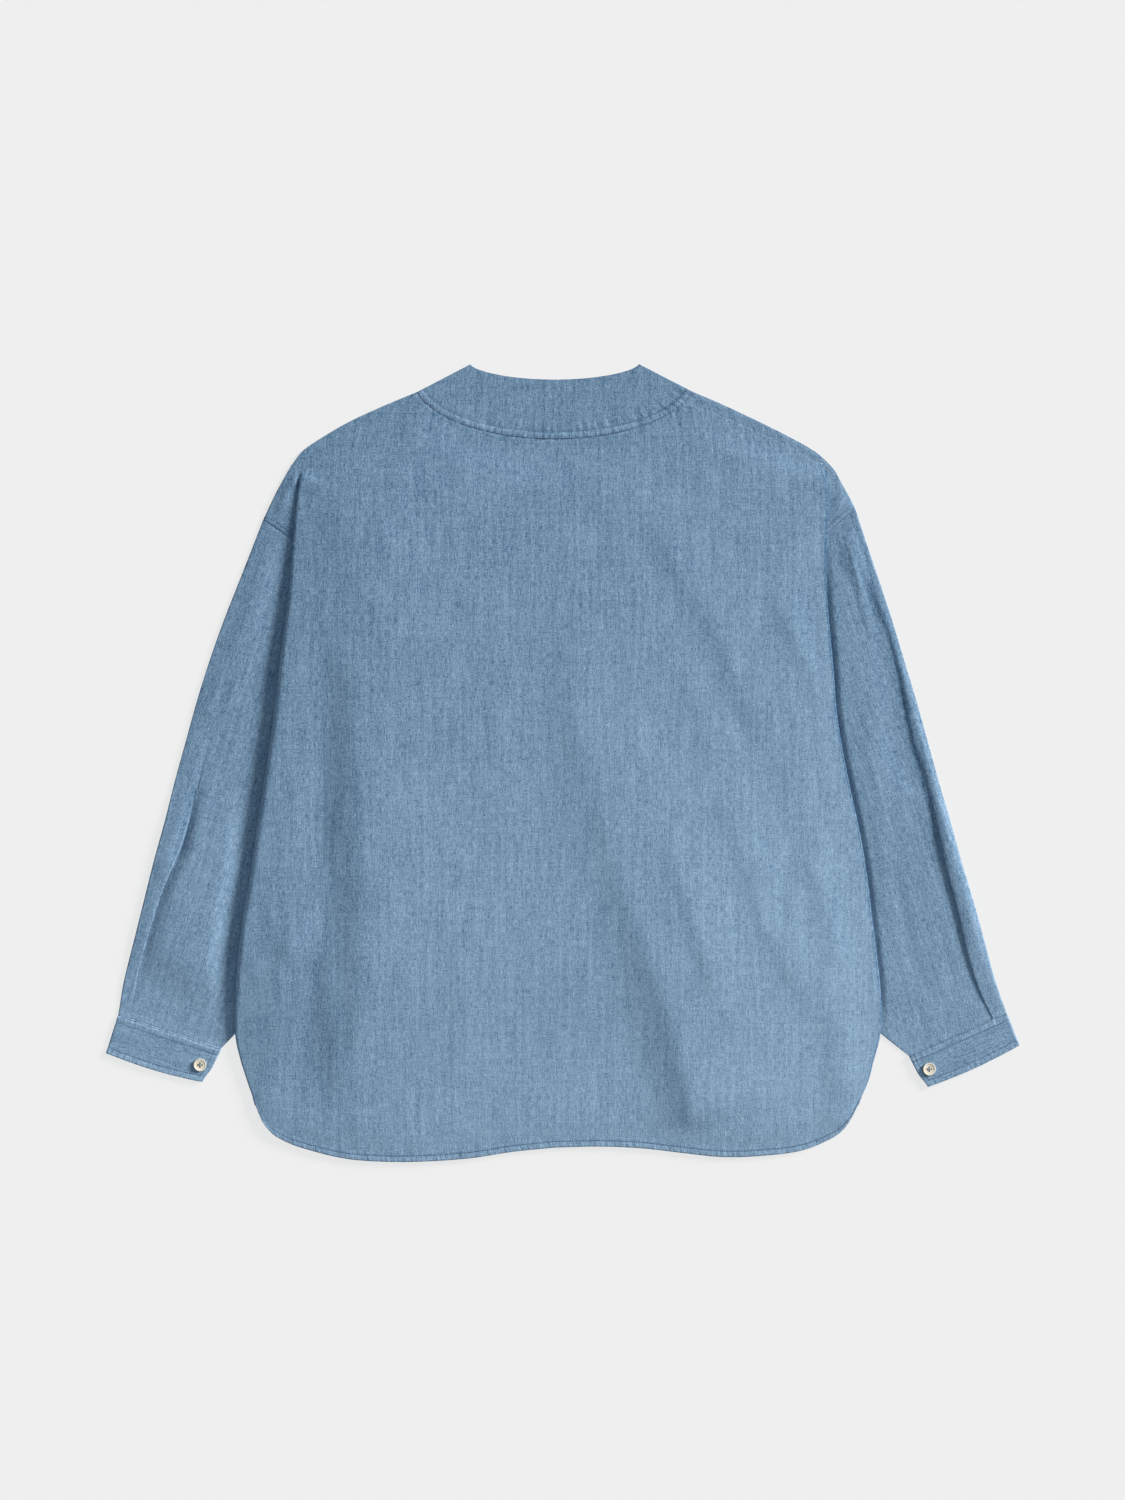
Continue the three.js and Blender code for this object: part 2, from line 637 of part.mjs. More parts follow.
const CUFF_COLUMNS = [1, 0.97, 0.9, 0.75, 0.55, 0.3, 0.1];
const CUFF_ROWS = [0, 0.2, 0.5, 0.8, 1];

// A cuff is one strip from its upper end round the outer edge to its lower end
function cuff(side) {
  const { topOuter, topInner, endOuter, endInner } = CUFF[side];
  const low = CUFF_WALL / 2;
  const high = low + CUFF_WALL + GAP;
  const turn = (high - low) / 2;
  const stations = [];
  const length = Math.hypot(topInner.x - topOuter.x, topInner.y - topOuter.y);
  const room = (turn + low) / length;
  const along = [...CUFF_COLUMNS, room];
  for (const share of along) stations.push({ share, z: high });
  for (const bend of ROUND) {
    const arc = Math.PI * bend;
    stations.push({ share: room - (turn * Math.sin(arc)) / length, z: low + turn + turn * Math.cos(arc) });
  }
  for (const share of [...along].reverse()) stations.push({ share, z: low });
  const rows = CUFF_ROWS.map((down) =>
    stations.map(({ share, z }) => {
      const top = { x: mix(topOuter.x, topInner.x, share), y: mix(topOuter.y, topInner.y, share) };
      const end = { x: mix(endOuter.x, endInner.x, share), y: mix(endOuter.y, endInner.y, share) };
      const bow = CUFF_BOW * Math.sin(Math.PI * share) * down;
      const { size, start, down: from, slope } = CUFF_CORNER;
      const corner = size * ease((share - start) / (1 - start)) * ease((down - from) / (1 - from));
      const x = mix(top.x, end.x, down) + corner;
      const y = mix(top.y, end.y, down) - bow + corner * slope;
      return new THREE.Vector3(placed(side, x), y, z);
    }),
  );
  return wall(rows, CUFF_WALL);
}

const BAND_ROWS = [0, 0.33, 0.67, 1];

// A band from the neck edge to the seam, whose points are those of the panel it is sewn to
function neckband(seamRow, edgeDepth, z) {
  const rows = BAND_ROWS.map((down) =>
    seamRow.map((seam) => {
      const out = (seam.x - CENTRE) / NECK.halfWidth;
      const dip = edgeDepth * Math.sqrt(Math.max(1 - out * out, 0));
      const edge = new THREE.Vector3(CENTRE + NECK_EDGE.halfWidth * out, NECK_EDGE.top - dip, z);
      const sewn = new THREE.Vector3(seam.x, seam.y, z);
      sewn.addScaledVector(edge.clone().sub(sewn).normalize(), BAND_GAP);
      return edge.lerp(sewn, down);
    }),
  );
  return wall(rows, CLOTH);
}

const wasm = await Module();
wasm.setup();

function solidOf(geometry) {
  const plain = geometry.clone();
  plain.deleteAttribute('normal');
  plain.deleteAttribute('uv');
  const merged = mergeVertices(plain, 1e-4);
  return new wasm.Manifold(
    new wasm.Mesh({
      numProp: 3,
      vertProperties: new Float32Array(merged.attributes.position.array),
      triVerts: new Uint32Array(merged.index.array),
    }),
  );
}

function geometryOf(solid) {
  const mesh = solid.getMesh();
  const geometry = new THREE.BufferGeometry();
  geometry.setAttribute('position', new THREE.Float32BufferAttribute(mesh.vertProperties, 3));
  geometry.setIndex(Array.from(mesh.triVerts));
  geometry.computeVertexNormals();
  return geometry;
}

// A four-hole button with a raised rim, its holes set in an upright cross
function button() {
  const { radius, high, rim, dish, sides } = BUTTON;
  const { foot, side, top, bowl } = BUTTON_ROUND;
  const profile = [
    [0, 0],
    [radius - foot, 0],
    [radius, foot],
    [radius, high - side],
    [radius - top, high],
    [radius - rim, high],
    [radius - rim - bowl, high - dish],
    [0, high - dish],
  ].map(([x, y]) => new THREE.Vector2(x, y));
  let body = solidOf(new THREE.LatheGeometry(profile, sides).rotateX(Math.PI / 2));
  for (let k = 0; k < HOLES.count; k += 1) {
    const angle = (2 * Math.PI * k) / HOLES.count;
    const drill = new THREE.CylinderGeometry(HOLES.radius, HOLES.radius, 3 * high, HOLES.sides);
    drill.rotateX(Math.PI / 2).translate(HOLES.ring * Math.cos(angle), HOLES.ring * Math.sin(angle), 0);
    body = body.subtract(solidOf(drill));
  }
  return geometryOf(body);
}

function piece(name, geometry, colour, roughness = 0.9) {
  const material = new THREE.MeshStandardMaterial({ color: colour, roughness, metalness: 0 });
  const mesh = new THREE.Mesh(geometry, material);
  mesh.name = name;
  return mesh;
}

const shirt = new THREE.Group();
const back = backRows();
const front = frontRows();
shirt.add(piece('back', wall(back, CLOTH), COLOURS.body));
shirt.add(piece('front', wall(front, CLOTH), COLOURS.body));
shirt.add(piece('neckband_back', neckband(back[0], NECK_EDGE.backDepth, TOP), COLOURS.band));
shirt.add(piece('neckband_front', neckband(front[0], NECK_EDGE.frontDepth, LOW), COLOURS.band));
for (const side of Object.keys(SIDES)) {
  shirt.add(piece(`sleeve_${side}`, sleeve(side), COLOURS.sleeve));
  shirt.add(piece(`cuff_${side}`, cuff(side), COLOURS.cuff));
  const fastener = piece(`button_${side}`, button(), COLOURS.button, 0.4);
  const onCuff = 2 * (CUFF_WALL + GAP);
  fastener.position.set(placed(side, BUTTON_AT[side].x), BUTTON_AT[side].y, onCuff);
  shirt.add(fastener);
}

// The origin is the middle of the shirt's footprint, on the surface it lies on
const middle = new THREE.Box3().setFromObject(shirt).getCenter(new THREE.Vector3());
for (const mesh of shirt.children) {
  mesh.position.x -= middle.x;
  mesh.position.y -= middle.y;
}

export default shirt;
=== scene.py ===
import bisect
import math
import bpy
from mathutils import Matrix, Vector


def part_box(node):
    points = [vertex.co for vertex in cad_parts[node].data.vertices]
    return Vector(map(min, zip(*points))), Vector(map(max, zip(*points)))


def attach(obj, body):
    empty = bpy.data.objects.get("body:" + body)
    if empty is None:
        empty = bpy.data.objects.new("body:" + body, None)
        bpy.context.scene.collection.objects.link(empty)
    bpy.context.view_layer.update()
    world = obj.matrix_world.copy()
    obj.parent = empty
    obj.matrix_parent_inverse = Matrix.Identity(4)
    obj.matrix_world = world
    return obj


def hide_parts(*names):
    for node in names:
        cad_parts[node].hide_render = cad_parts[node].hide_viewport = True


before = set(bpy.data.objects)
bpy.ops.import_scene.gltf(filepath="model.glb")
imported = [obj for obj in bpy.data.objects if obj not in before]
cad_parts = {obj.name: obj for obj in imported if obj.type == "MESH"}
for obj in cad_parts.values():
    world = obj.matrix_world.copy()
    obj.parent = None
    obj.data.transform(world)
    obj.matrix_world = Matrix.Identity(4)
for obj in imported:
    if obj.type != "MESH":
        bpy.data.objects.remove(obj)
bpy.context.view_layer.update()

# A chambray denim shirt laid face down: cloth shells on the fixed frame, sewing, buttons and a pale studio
from types import SimpleNamespace

import bpy
import numpy as np
from mathutils import Vector, noise

bl_info = {
    "name": "Denim shirt, laid flat",
    "version": (1, 0, 0),
    "blender": (4, 5, 0),
    "location": "3D View > Sidebar > Shirt",
    "description": "Sews a flat-laid denim shirt onto its packed frame",
    "category": "Add Mesh",
}

# The cut of the shirt, in millimetres, with widths measured outwards from the centre line of the body
MM = 0.001
CENTRE = -8.0
SIDES = {"left": -1, "right": 1}
LAYER = 1.5
LOW = 0.6
TOP = LOW + LAYER
UNDER = TOP + LAYER
CREASE = LAYER / 2
UNDERARM_Y = 41.0
CORNER_Y = -281.0
HEM_TURN_Y = -325.0

# The frame's origin is the middle of the footprint, so the tables move by what its neckband says
NECK_LEFT = 138.0
NECK_TOP = 379.0
SHIFT_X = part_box("neckband_front")[0][0] / MM + NECK_LEFT
SHIFT_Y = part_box("neckband_front")[1][1] / MM - NECK_TOP


def table(names, *rows):
    """Rows of numbers as a table with named columns."""
    return [dict(zip(names, row)) for row in rows]


def creases(*rows):
    """Folds or places of painted shade: a route, the width of its left and right flanks, and its height at either
    end.
    """
    return table(("route", "wide", "high"), *rows)


SHOULDER = table(
    ("y", "left", "right"),
    (353, 130, 131),
    (341, 159, 159),
    (325, 194, 193),
    (310, 220, 223),
    (297, 239, 246),
    (287, 247, 258),
    (278, 253, 266),
    (269, 258, 271),
    (260, 263, 276),
    (250, 268, 281.5),
)
ARMHOLE = {
    "left": table(("x", "y"), (275, 235), (248.5, 216), (218, 179), (194, 117), (185, UNDERARM_Y)),
    "right": table(("x", "y"), (284, 245), (260, 223), (228, 179), (206, 117), (197, UNDERARM_Y)),
}
ARM_TOP, ARM_CROSS, ARM_CREASE, ARM_MIDDLE, ARM_UNDER = range(5)
SIDE_SEAM = {"left": (185, 278), "right": (197, 286)}
FOLD = table(
    ("y", "left", "right"),
    (279, 240, 255.5),
    (262, 243, 259),
    (246, 245, 259.5),
    (222, 247, 259),
    (193, 249.5, 258),
    (155, 253, 259),
    (101, 260, 264),
    (41, 267, 269),
    (-20, 276, 280),
    (-66, 283, 290),
    (-109, 289, 297),
    (-142, 295, 301),
    (-182, 300, 306),
    (-225, 303, 310),
    (-259, 303, 309),
    (-282, 298, 303),
    (-301, 292, 298),
    (-325, 284.5, 288.5),
    (-380, 284.5, 288.5),
)
FOLD_FORM = {
    "left": {"apex": 284, "flat": 254, "inset": 14, "roll": 4.8},
    "right": {"apex": 286, "flat": 258, "inset": 8, "roll": 1.0},
}
HEM = table(
    ("share", "left", "right"),
    (0, -364.5, -364.5),
    (0.14, -368.5, -363.5),
    (0.28, -374.5, -365),
    (0.42, -377.5, -369.5),
    (0.56, -378, -373.5),
    (0.7, -375, -372),
    (0.82, -367, -367),
    (0.9, -359, -358),
    (0.95, -350, -348.5),
    (0.98, -339, -337),
    (1, HEM_TURN_Y, HEM_TURN_Y),
)
NECK = {"half": 130, "top": 353, "arc": 134, "back": 44, "front": 190}
NECK_POWER = 0.64
NECK_EDGE = {"half": 80, "top": 379, "back": 14.5, "front": 165}
SLEEVE_OUTER = table(
    ("y", "left", "right"),
    (212, 284, 295),
    (174, 299, 308),
    (136, 314, 320.5),
    (98, 327.5, 332),
    (60, 339.5, 343.5),
    (22, 350, 354),
    (-16, 360.5, 364.5),
    (-54, 370, 375.5),
    (-92, 380.5, 386),
    (-130, 390, 397.5),
    (-168, 399.5, 408),
    (-206, 409, 418.5),
)
SLEEVE_INNER = {
    "left": table(("x", "y"), (242, -82), (272, -177), (302.5, -256)),
    "right": table(("x", "y"), (256, -82), (286, -177), (309, -256)),
}
CUFF = {
    "left": {"top": ((415, -240), (317, -272)), "end": ((426, -275), (332, -303))},
    "right": {"top": ((430, -238), (337, -279)), "end": ((441.5, -267.5), (352, -308))},
}
CUFF_WALL = 1.6
CUFF_BOW = 2.5
CUFF_CORNER = 6.0
PLEAT = table(
    ("along", "left", "right"),
    (0, 24, 14),
    (0.45, 24, 14),
    (0.62, 25, 17),
    (0.75, 16, 19),
    (0.88, 12.5, 20),
    (1, 12.5, 15),
)
PLEAT_START, PLEAT_FLAT, PLEAT_DEEP = 0.5, 0.76, 7.0
BUTTON_AT = {"left": (336, -286), "right": (356, -290)}

# Folds, each routed from top to bottom
BACK_CREASES = creases(
    (((-198, 190), (-197, 100), (-190, -16), (-187, -105), (-190, -200), (-194, -330)), (22, 95), (1.2, 5.0)),
    (((-232, 150), (-230, 60), (-227, -40), (-226, -130), (-236, -230)), (30, 22), (-2.4, -4.2)),
    (((-200, 20), (-213, -70), (-234, -130), (-270, -195)), (15, 28), (1.5, 3.0)),
    (((-228, -150), (-222, -220), (-212, -315)), (15, 20), (1.6, 2.4)),
    (((18, 60), (36, -29), (66, -130), (100, -231), (118, -300), (130, -352)), (25, 105), (1.8, 8.4)),
    (((92, -60), (112, -110), (130, -160), (150, -225)), (12, 60), (1.8, 2.4)),
    (((12, 130), (10, 60), (16, 0)), (14, 30), (0.8, 1.8)),
    (((74, 260), (110, 187), (155, 107), (190, 26)), (12, 34), (1.4, 1.8)),
    (((188, 172), (223, 118), (246, 55), (262, -5)), (10, 22), (1.4, 1.7)),
    (((104, 120), (122, 70), (142, 0)), (12, 18), (0.9, 0.8)),
    (((138, -10), (166, -65), (196, -158), (234, -225)), (12, 34), (1.4, 1.7)),
    (((232, -80), (250, -140), (262, -190)), (11, 15), (0.9, 0.9)),
    (((-150, 290), (-166, 250), (-176, 190)), (14, 24), (0.6, 0.9)),
    (((36, 280), (52, 230), (60, 170)), (14, 26), (0.6, 0.7)),
    (((-70, 150), (-64, 20), (-60, -90)), (16, 30), (0.6, 0.9)),
    (((-96, -120), (-92, -220), (-100, -310)), (18, 34), (0.8, 1.2)),
)
SHOULDER_CREASES = {
    "left": creases(
        (((-246, 280), (-252, 273), (-257, 265), (-263, 253), (-271, 237)), (4, 7), (1.2, 2.0)),
    ),
    "right": creases((((262, 262), (262, 245), (266, 226)), (6, 9), (0.8, 1.2))),
}
SLEEVE_CREASES = {
    "left": creases(
        (((-338, 34), (-341, -10), (-350, -42), (-362, -74), (-370, -98)), (8, 8), (-1.4, -1.7)),
        (((-286, 180), (-304, 110), (-326, 20)), (10, 14), (0.7, 0.6)),
        (((-322, 60), (-330, -30), (-346, -110)), (9, 12), (-0.6, -0.9)),
        (((-352, -190), (-358, -220), (-366, -246)), (6, 6), (0.6, 1.4)),
        (((-332, -200), (-336, -230), (-341, -254)), (6, 6), (0.6, 1.2)),
        (((-378, -206), (-384, -230), (-390, -246)), (5, 5), (-0.5, -1.2)),
    ),
    "right": creases(
        (
            ((281, 208), (287, 178), (296, 146), (306, 121), (316, 80), (326, 22), (335, -4), (344, -38)),
            (24, 5),
            (-2.9, -3.2),
        ),
        (((256, 218), (262, 193), (266, 174)), (5, 5), (-1.6, -1.2)),
        (((270, 217), (275, 193), (285, 155), (293, 120)), (3.5, 4), (1.3, 1.0)),
        (((290, 30), (304, -60), (316, -160)), (12, 14), (0.8, 0.9)),
        (((306, -60), (324, -150), (338, -220)), (9, 12), (-0.6, -0.9)),
        (((354, -190), (364, -220), (376, -244)), (6, 6), (0.6, 1.4)),
        (((334, -214), (344, -240), (352, -260)), (6, 6), (0.6, 1.2)),
    ),
}
# Painted shade: dark patches painted where the creases and the sleeves' troughs throw shade, with how dark each is in
# place of a height
BACK_PAINTED_SHADE = creases(
    (((-226, -60), (-236, -200), (-244, -350)), (45, 45), (0.04, 0.13)),
    (((62, -20), (88, -130), (106, -231), (122, -330)), (26, 20), (0.03, 0.07)),
    (((-196, 30), (-192, -60), (-190, -150)), (24, 16), (0.04, 0.06)),
)
SLEEVE_PAINTED_SHADE = {
    "left": creases((((-346, 20), (-352, -20), (-366, -80), (-376, -130)), (5, 7), (0.06, 0.1))),
    "right": creases(
        (
            ((284, 208), (291, 178), (300, 146), (310, 121), (320, 80), (331, 22), (345, -30), (359, -90)),
            (5, 5),
            (0.14, 0.24),
        ),
    ),
}
FRONT_CREASES = creases(
    (((-150, 60), (-146, -80), (-170, -240)), (22, 26), (0.8, 0.8)),
    (((120, 40), (150, -80), (140, -230)), (20, 24), (0.9, 0.9)),
    (((-40, 90), (-20, -60), (10, -260)), (24, 26), (0.7, 0.7)),
    (((-190, 150), (-160, 80), (-120, 30)), (14, 18), (0.6, 0.6)),
    (((180, 150), (160, 90), (120, 50)), (14, 18), (0.6, 0.6)),
    (((60, -120), (70, -220), (60, -320)), (18, 22), (0.7, 0.7)),
)
BACK_AIR = 2.6
EDGE_CALM, WORN_CALM = 55.0, 22.0
CREASE_STEPS, CREASE_POWER, CREASE_BLEND = 14, 1.6, 4.0
CREASE_IN, CREASE_OUT, CREASE_END = 0.25, 0.12, 0.2
# How high the air holds the back panel, and how far in from the seam that height begins
LIFT = {"left": 11.5, "middle": 8.5, "right": 4.0}
LIFT_TOP, LIFT_GROWN = 345.0, 230.0
HEM_CALM, HEM_FALL, HEM_LOW = -170.0, 130.0, 0.85
LIFT_NEAR, LIFT_EDGE, NECK_CALM = 34.0, 6.0, 70.0
ROLL_GROWN = 200.0
# How low the back panel may sink: onto the sleeve and fold near the edge, onto the front further in
BED, BED_REACH, BED_GROWN, BED_LOW, BED_GAP = 1.2, 16.0, 10.0, 0.4, 0.2
FREE_EDGE = 8.0
SEAM_CLEAR, SEAM_DROP = 8.0, 13.0
# How high the air holds each sleeve, how soon from its outer edge, and how far from the body it starts
SLEEVE_AIR = {"left": 1.8, "right": 3.1}
AIR_REACH = {"left": 0.12, "right": 0.05}
BODY_CLEAR = {"left": (4, 26), "right": (0.2, 5)}
SQUEEZE_START, SQUEEZE, SQUEEZE_THIN = 0.82, 0.68, 0.6
PLEAT_RISE, PLEAT_SLOPE = {"left": 4.2, "right": 0.4}, 17.0
PLEAT_PRESS = {"left": 0.6, "right": 1.0}
PLEAT_STRIP = {"left": 0.7, "right": 1.3}
FRONT_HEM_RISE = 3.0
HEAD_GAP = 0.6
SLEEVE_LEAN = 17.0
BAND_GAP = 0.5
BAND_LAP, BAND_RISE = 1.2, 0.25
ARM_LAP, ARM_RISE, ARM_WAY = 3.6, 0.3, (0.33, -0.944)
CUFF_LAP, CUFF_GAP, CUFF_APART = 1.8, 0.45, 0.3
# Stitch rows: from the lapped armhole edge, and from a cuff's upper edge, lower edge and open end
ARM_ROWS = (1.1, 7.2)
CUFF_ROWS = {"top": (1.2, 7.2), "end": 6.0, "tip": 5.0}
UNDER_SUNK = 0.38
TUCK_DROP, TUCK_THIN = 0.35, 0.45
NECK_TUCK, ARM_TUCK = 2.0, 3.9
# Columns on the back panel's folded edge: out over the sleeve, round, under, and round again
LOWER_KEYS, TURN_KEYS, UNDER_KEYS, RIDGE_KEYS = 24, 7, 3, 9
FOLD_KEYS = LOWER_KEYS + TURN_KEYS + UNDER_KEYS + RIDGE_KEYS
KEY_GAP, KEY_SHARE, KEY_NARROW = 1.2, 0.55, 0.15
# How dark the painted shade along the right fold's edge is, and how far the fold blends in at its apex
FOLD_SHADE, APEX_BLEND = 0.42, 10
# Rows of the panels: closer at the neck, and crowded where the hem's curve turns
NECK_FINER, CROWDED, HEM_POWER = 3, 0.955, 1.6
BACK_ROWS = (4, (4, 6, 12, 17, 20), 72, 14)
FRONT_ROWS = (3, (3, 4, 8, 12, 14), 48, 14)
FRONT_COLUMNS = 44
NECK_REACH = {"back": 130, "front": -200}
# How strongly the weave shows, and how much of the painted light runs across the body to the right
WEAVE_CONTRAST, BODY_LIGHT_SLANT = 0.88, 0.66

# How the photograph is framed: millimetres a pixel, its size, and the pixel that the shirt's own zero falls on
PIXEL = 0.95
PHOTO_SIZE = (1125, 1500)
ZERO_PIXEL = (563.0, 763.5)
# The floor's width in metres, and how far it lies under the shirt in millimetres
FLOOR_SIZE, FLOOR_DROP = 12, 0.4


def mix(a, b, share):
    return a + (b - a) * share


def clamp(value, low=0.0, high=1.0):
    return min(max(value, low), high)


def ease(value):
    value = clamp(value)
    return value * value * (3 - 2 * value)


def ease_all(values):
    values = np.clip(values, 0, 1)
    return values * values * (3 - 2 * values)


def smooth(rows, key, column):
    """A smooth reading of one column of a table against another."""
    points = sorted((row[key], row[column]) for row in rows)
    xs = [float(p[0]) for p in points]
    ys = [float(p[1]) for p in points]
    gaps = [(ys[i + 1] - ys[i]) / (xs[i + 1] - xs[i]) for i in range(len(xs) - 1)]
    slopes = [gaps[0]] + [(a + b) / 2 for a, b in zip(gaps, gaps[1:])] + [gaps[-1]]

    def read(place):
        place = clamp(place, xs[0], xs[-1])
        i = min(max(bisect.bisect_right(xs, place) - 1, 0), len(xs) - 2)
        width = xs[i + 1] - xs[i]
        t = (place - xs[i]) / width
        rise = (2 * t**3 - 3 * t**2 + 1) * ys[i] + (3 * t**2 - 2 * t**3) * ys[i + 1]
        return rise + width * ((t**3 - 2 * t**2 + t) * slopes[i] + (t**3 - t**2) * slopes[i + 1])

    return read


READ_FOLD = {side: smooth(FOLD, "y", side) for side in SIDES}
READ_HEM = {side: smooth(HEM, "share", side) for side in SIDES}
READ_SHOULDER = {side: smooth(SHOULDER, "y", side) for side in SIDES}
READ_ARMHOLE = {side: smooth(ARMHOLE[side], "y", "x") for side in SIDES}
READ_PLEAT = {side: smooth(PLEAT, "along", side) for side in SIDES}
READ_INNER = {side: smooth(ARMHOLE[side][ARM_UNDER:] + SLEEVE_INNER[side], "y", "x") for side in SIDES}


def placed(side, out):
    return CENTRE + SIDES[side] * out


def fold_at(along, form):
    """Run outwards and drop of a cloth that turns down, runs on and turns level again."""
    angle, upper, length, lower = form["angle"], form["upper"], form["length"], form["lower"]
    if angle < 0.01 or along <= 0:
        return along, 0.0
    arc = min(along / upper, 1) * angle
    run = upper / angle * math.sin(arc)
    drop = upper / angle * (1 - math.cos(arc))
    if along <= upper:
        return run, drop
    straight = min(along - upper, length)
    run += straight * math.cos(angle)
    drop += straight * math.sin(angle)
    if along <= upper + length:
        return run, drop
    radius = lower / angle
    left = angle * (1 - min((along - upper - length) / lower, 1))
    beyond = max(along - upper - length - lower, 0)
    run += radius * (math.sin(angle) - math.sin(left)) + beyond
    return run, drop + radius * (math.cos(left) - math.cos(angle))


def fold_reach(form):
    if form["angle"] < 0.01:
        return 0.0
    return form["upper"] / form["angle"] * math.sin(min(form["angle"], math.pi / 2))


def shoulder_edge(side, y):
    if y >= SHOULDER[-1]["y"]:
        return READ_SHOULDER[side](y)
    top = ARMHOLE[side][ARM_TOP]
    if y >= top["y"]:
        return mix(top["x"], SHOULDER[-1][side], (y - top["y"]) / (SHOULDER[-1]["y"] - top["y"]))
    return READ_ARMHOLE[side](y)


def seam_at(side, y):
    if y >= UNDERARM_Y:
        return READ_ARMHOLE[side](min(y, ARMHOLE[side][ARM_CREASE]["y"]))
    top, bottom = SIDE_SEAM[side]
    if y >= CORNER_Y:
        return mix(top, bottom, (UNDERARM_Y - y) / (UNDERARM_Y - CORNER_Y))
    return mix(bottom, READ_FOLD[side](HEM_TURN_Y), clamp((CORNER_Y - y) / (CORNER_Y - HEM_TURN_Y)))


def low_share(y):
    """How far the shirt has come down to lie flat at the hem."""
    return ease((HEM_CALM - y) / HEM_FALL)


def body_lift(y):
    return ease((LIFT_TOP - y) / LIFT_GROWN) * (1 - HEM_LOW * low_share(y))


def roll_at(side, y):
    """Radius of the folded edge at a height."""
    shape = FOLD_FORM[side]
    open_roll = mix(CREASE, shape["roll"], ease((shape["apex"] - y) / ROLL_GROWN))
    return mix(open_roll, CREASE, low_share(y))


def body_fold(side, y):
    """The fold of the back panel over the sleeve, at a height."""
    shape = FOLD_FORM[side]
    crease = ARMHOLE[side][ARM_CREASE]
    edge = shoulder_edge(side, y) - shape["inset"] if y > shape["apex"] else READ_FOLD[side](y)
    angle = math.pi * ease((shape["apex"] - y) / (shape["apex"] - shape["flat"]))
    roll = roll_at(side, y)
    form = {"angle": angle, "upper": math.pi * roll, "lower": math.pi * CREASE, "length": 0.5}
    start = edge - fold_reach(form) - LOW
    if y < crease["y"]:
        form["length"] = max(start - seam_at(side, y), 0.5)
    else:
        full = READ_FOLD[side](crease["y"]) - roll_at(side, crease["y"]) - LOW - crease["x"]
        form["length"] = mix(0.5, full, clamp((shape["flat"] - y) / (shape["flat"] - crease["y"])))
    whole = form["upper"] + form["length"] + form["lower"]
    run, drop = fold_at(whole, form)
    cut = form["upper"] + form["length"]
    if y >= crease["y"]:
        cut = whole + max(shoulder_edge(side, y) - start - run, 0)
    rise = UNDER - TOP + 2 * roll if y < crease["y"] else drop
    form.update(start=start, whole=whole, cut=cut, rise=rise)
    return form


def fold_height(side, row_y, y):
    return mix(y, row_y, ease((row_y - FOLD_FORM[side]["apex"] + APEX_BLEND) / (2 * APEX_BLEND)))


def neck_share(out):
    far = NECK["half"] / NECK["arc"]
    end = math.sqrt(1 - far * far)
    return (math.sqrt(max(1 - (far * out) ** 2, 0)) - end) / (1 - end)


def centre_height(left_y, right_y, depth, reach):
    mean = (left_y + right_y) / 2
    return mean - depth * clamp((mean - reach) / (NECK["top"] - reach))


def row_ends(shoulder_steps, arm_steps, side_rows, hem_rows):
    """Both ends of every row of a body panel, from the neck seam down, with its share of the hem's curve."""
    ends = []
    for place, (a, b) in enumerate(zip(SHOULDER, SHOULDER[1:] + [None])):
        steps = shoulder_steps * (1 if place else NECK_FINER) if b else 1
        for k in range(steps):
            y = mix(a["y"], b["y"], k / steps) if b else a["y"]
            ends.append({side: (READ_SHOULDER[side](y), y) for side in SIDES})
    for k, steps in enumerate(arm_steps):
        for step in range(1, steps + 1):
            end = {}
            for side in SIDES:
                rows = ARMHOLE[side]
                before = rows[k - 1] if k else {"x": SHOULDER[-1][side], "y": SHOULDER[-1]["y"]}
                y = mix(before["y"], rows[k]["y"], step / steps)
                end[side] = (shoulder_edge(side, y), y)
            ends.append(end)
    for end in ends:
        end["hem"] = 0.0
    shares = [CROWDED * (k + 1) / side_rows for k in range(side_rows)]
    shares += [mix(CROWDED, 1, (k + 1) / hem_rows) for k in range(hem_rows)]
    for share in shares:
        y = mix(UNDERARM_Y, CORNER_Y, share)
        end = {side: (mix(*SIDE_SEAM[side], share), y) for side in SIDES}
        end["hem"] = share**HEM_POWER
        ends.append(end)
    return ends


def spread_shares(count):
    """Shares of the way out from the centre line, closer together near the folded edge."""
    steps = [k / count for k in range(count + 1)]
    return [0.5 * (1 - t) + 0.5 * math.cos(math.pi / 2 * t) for t in steps]


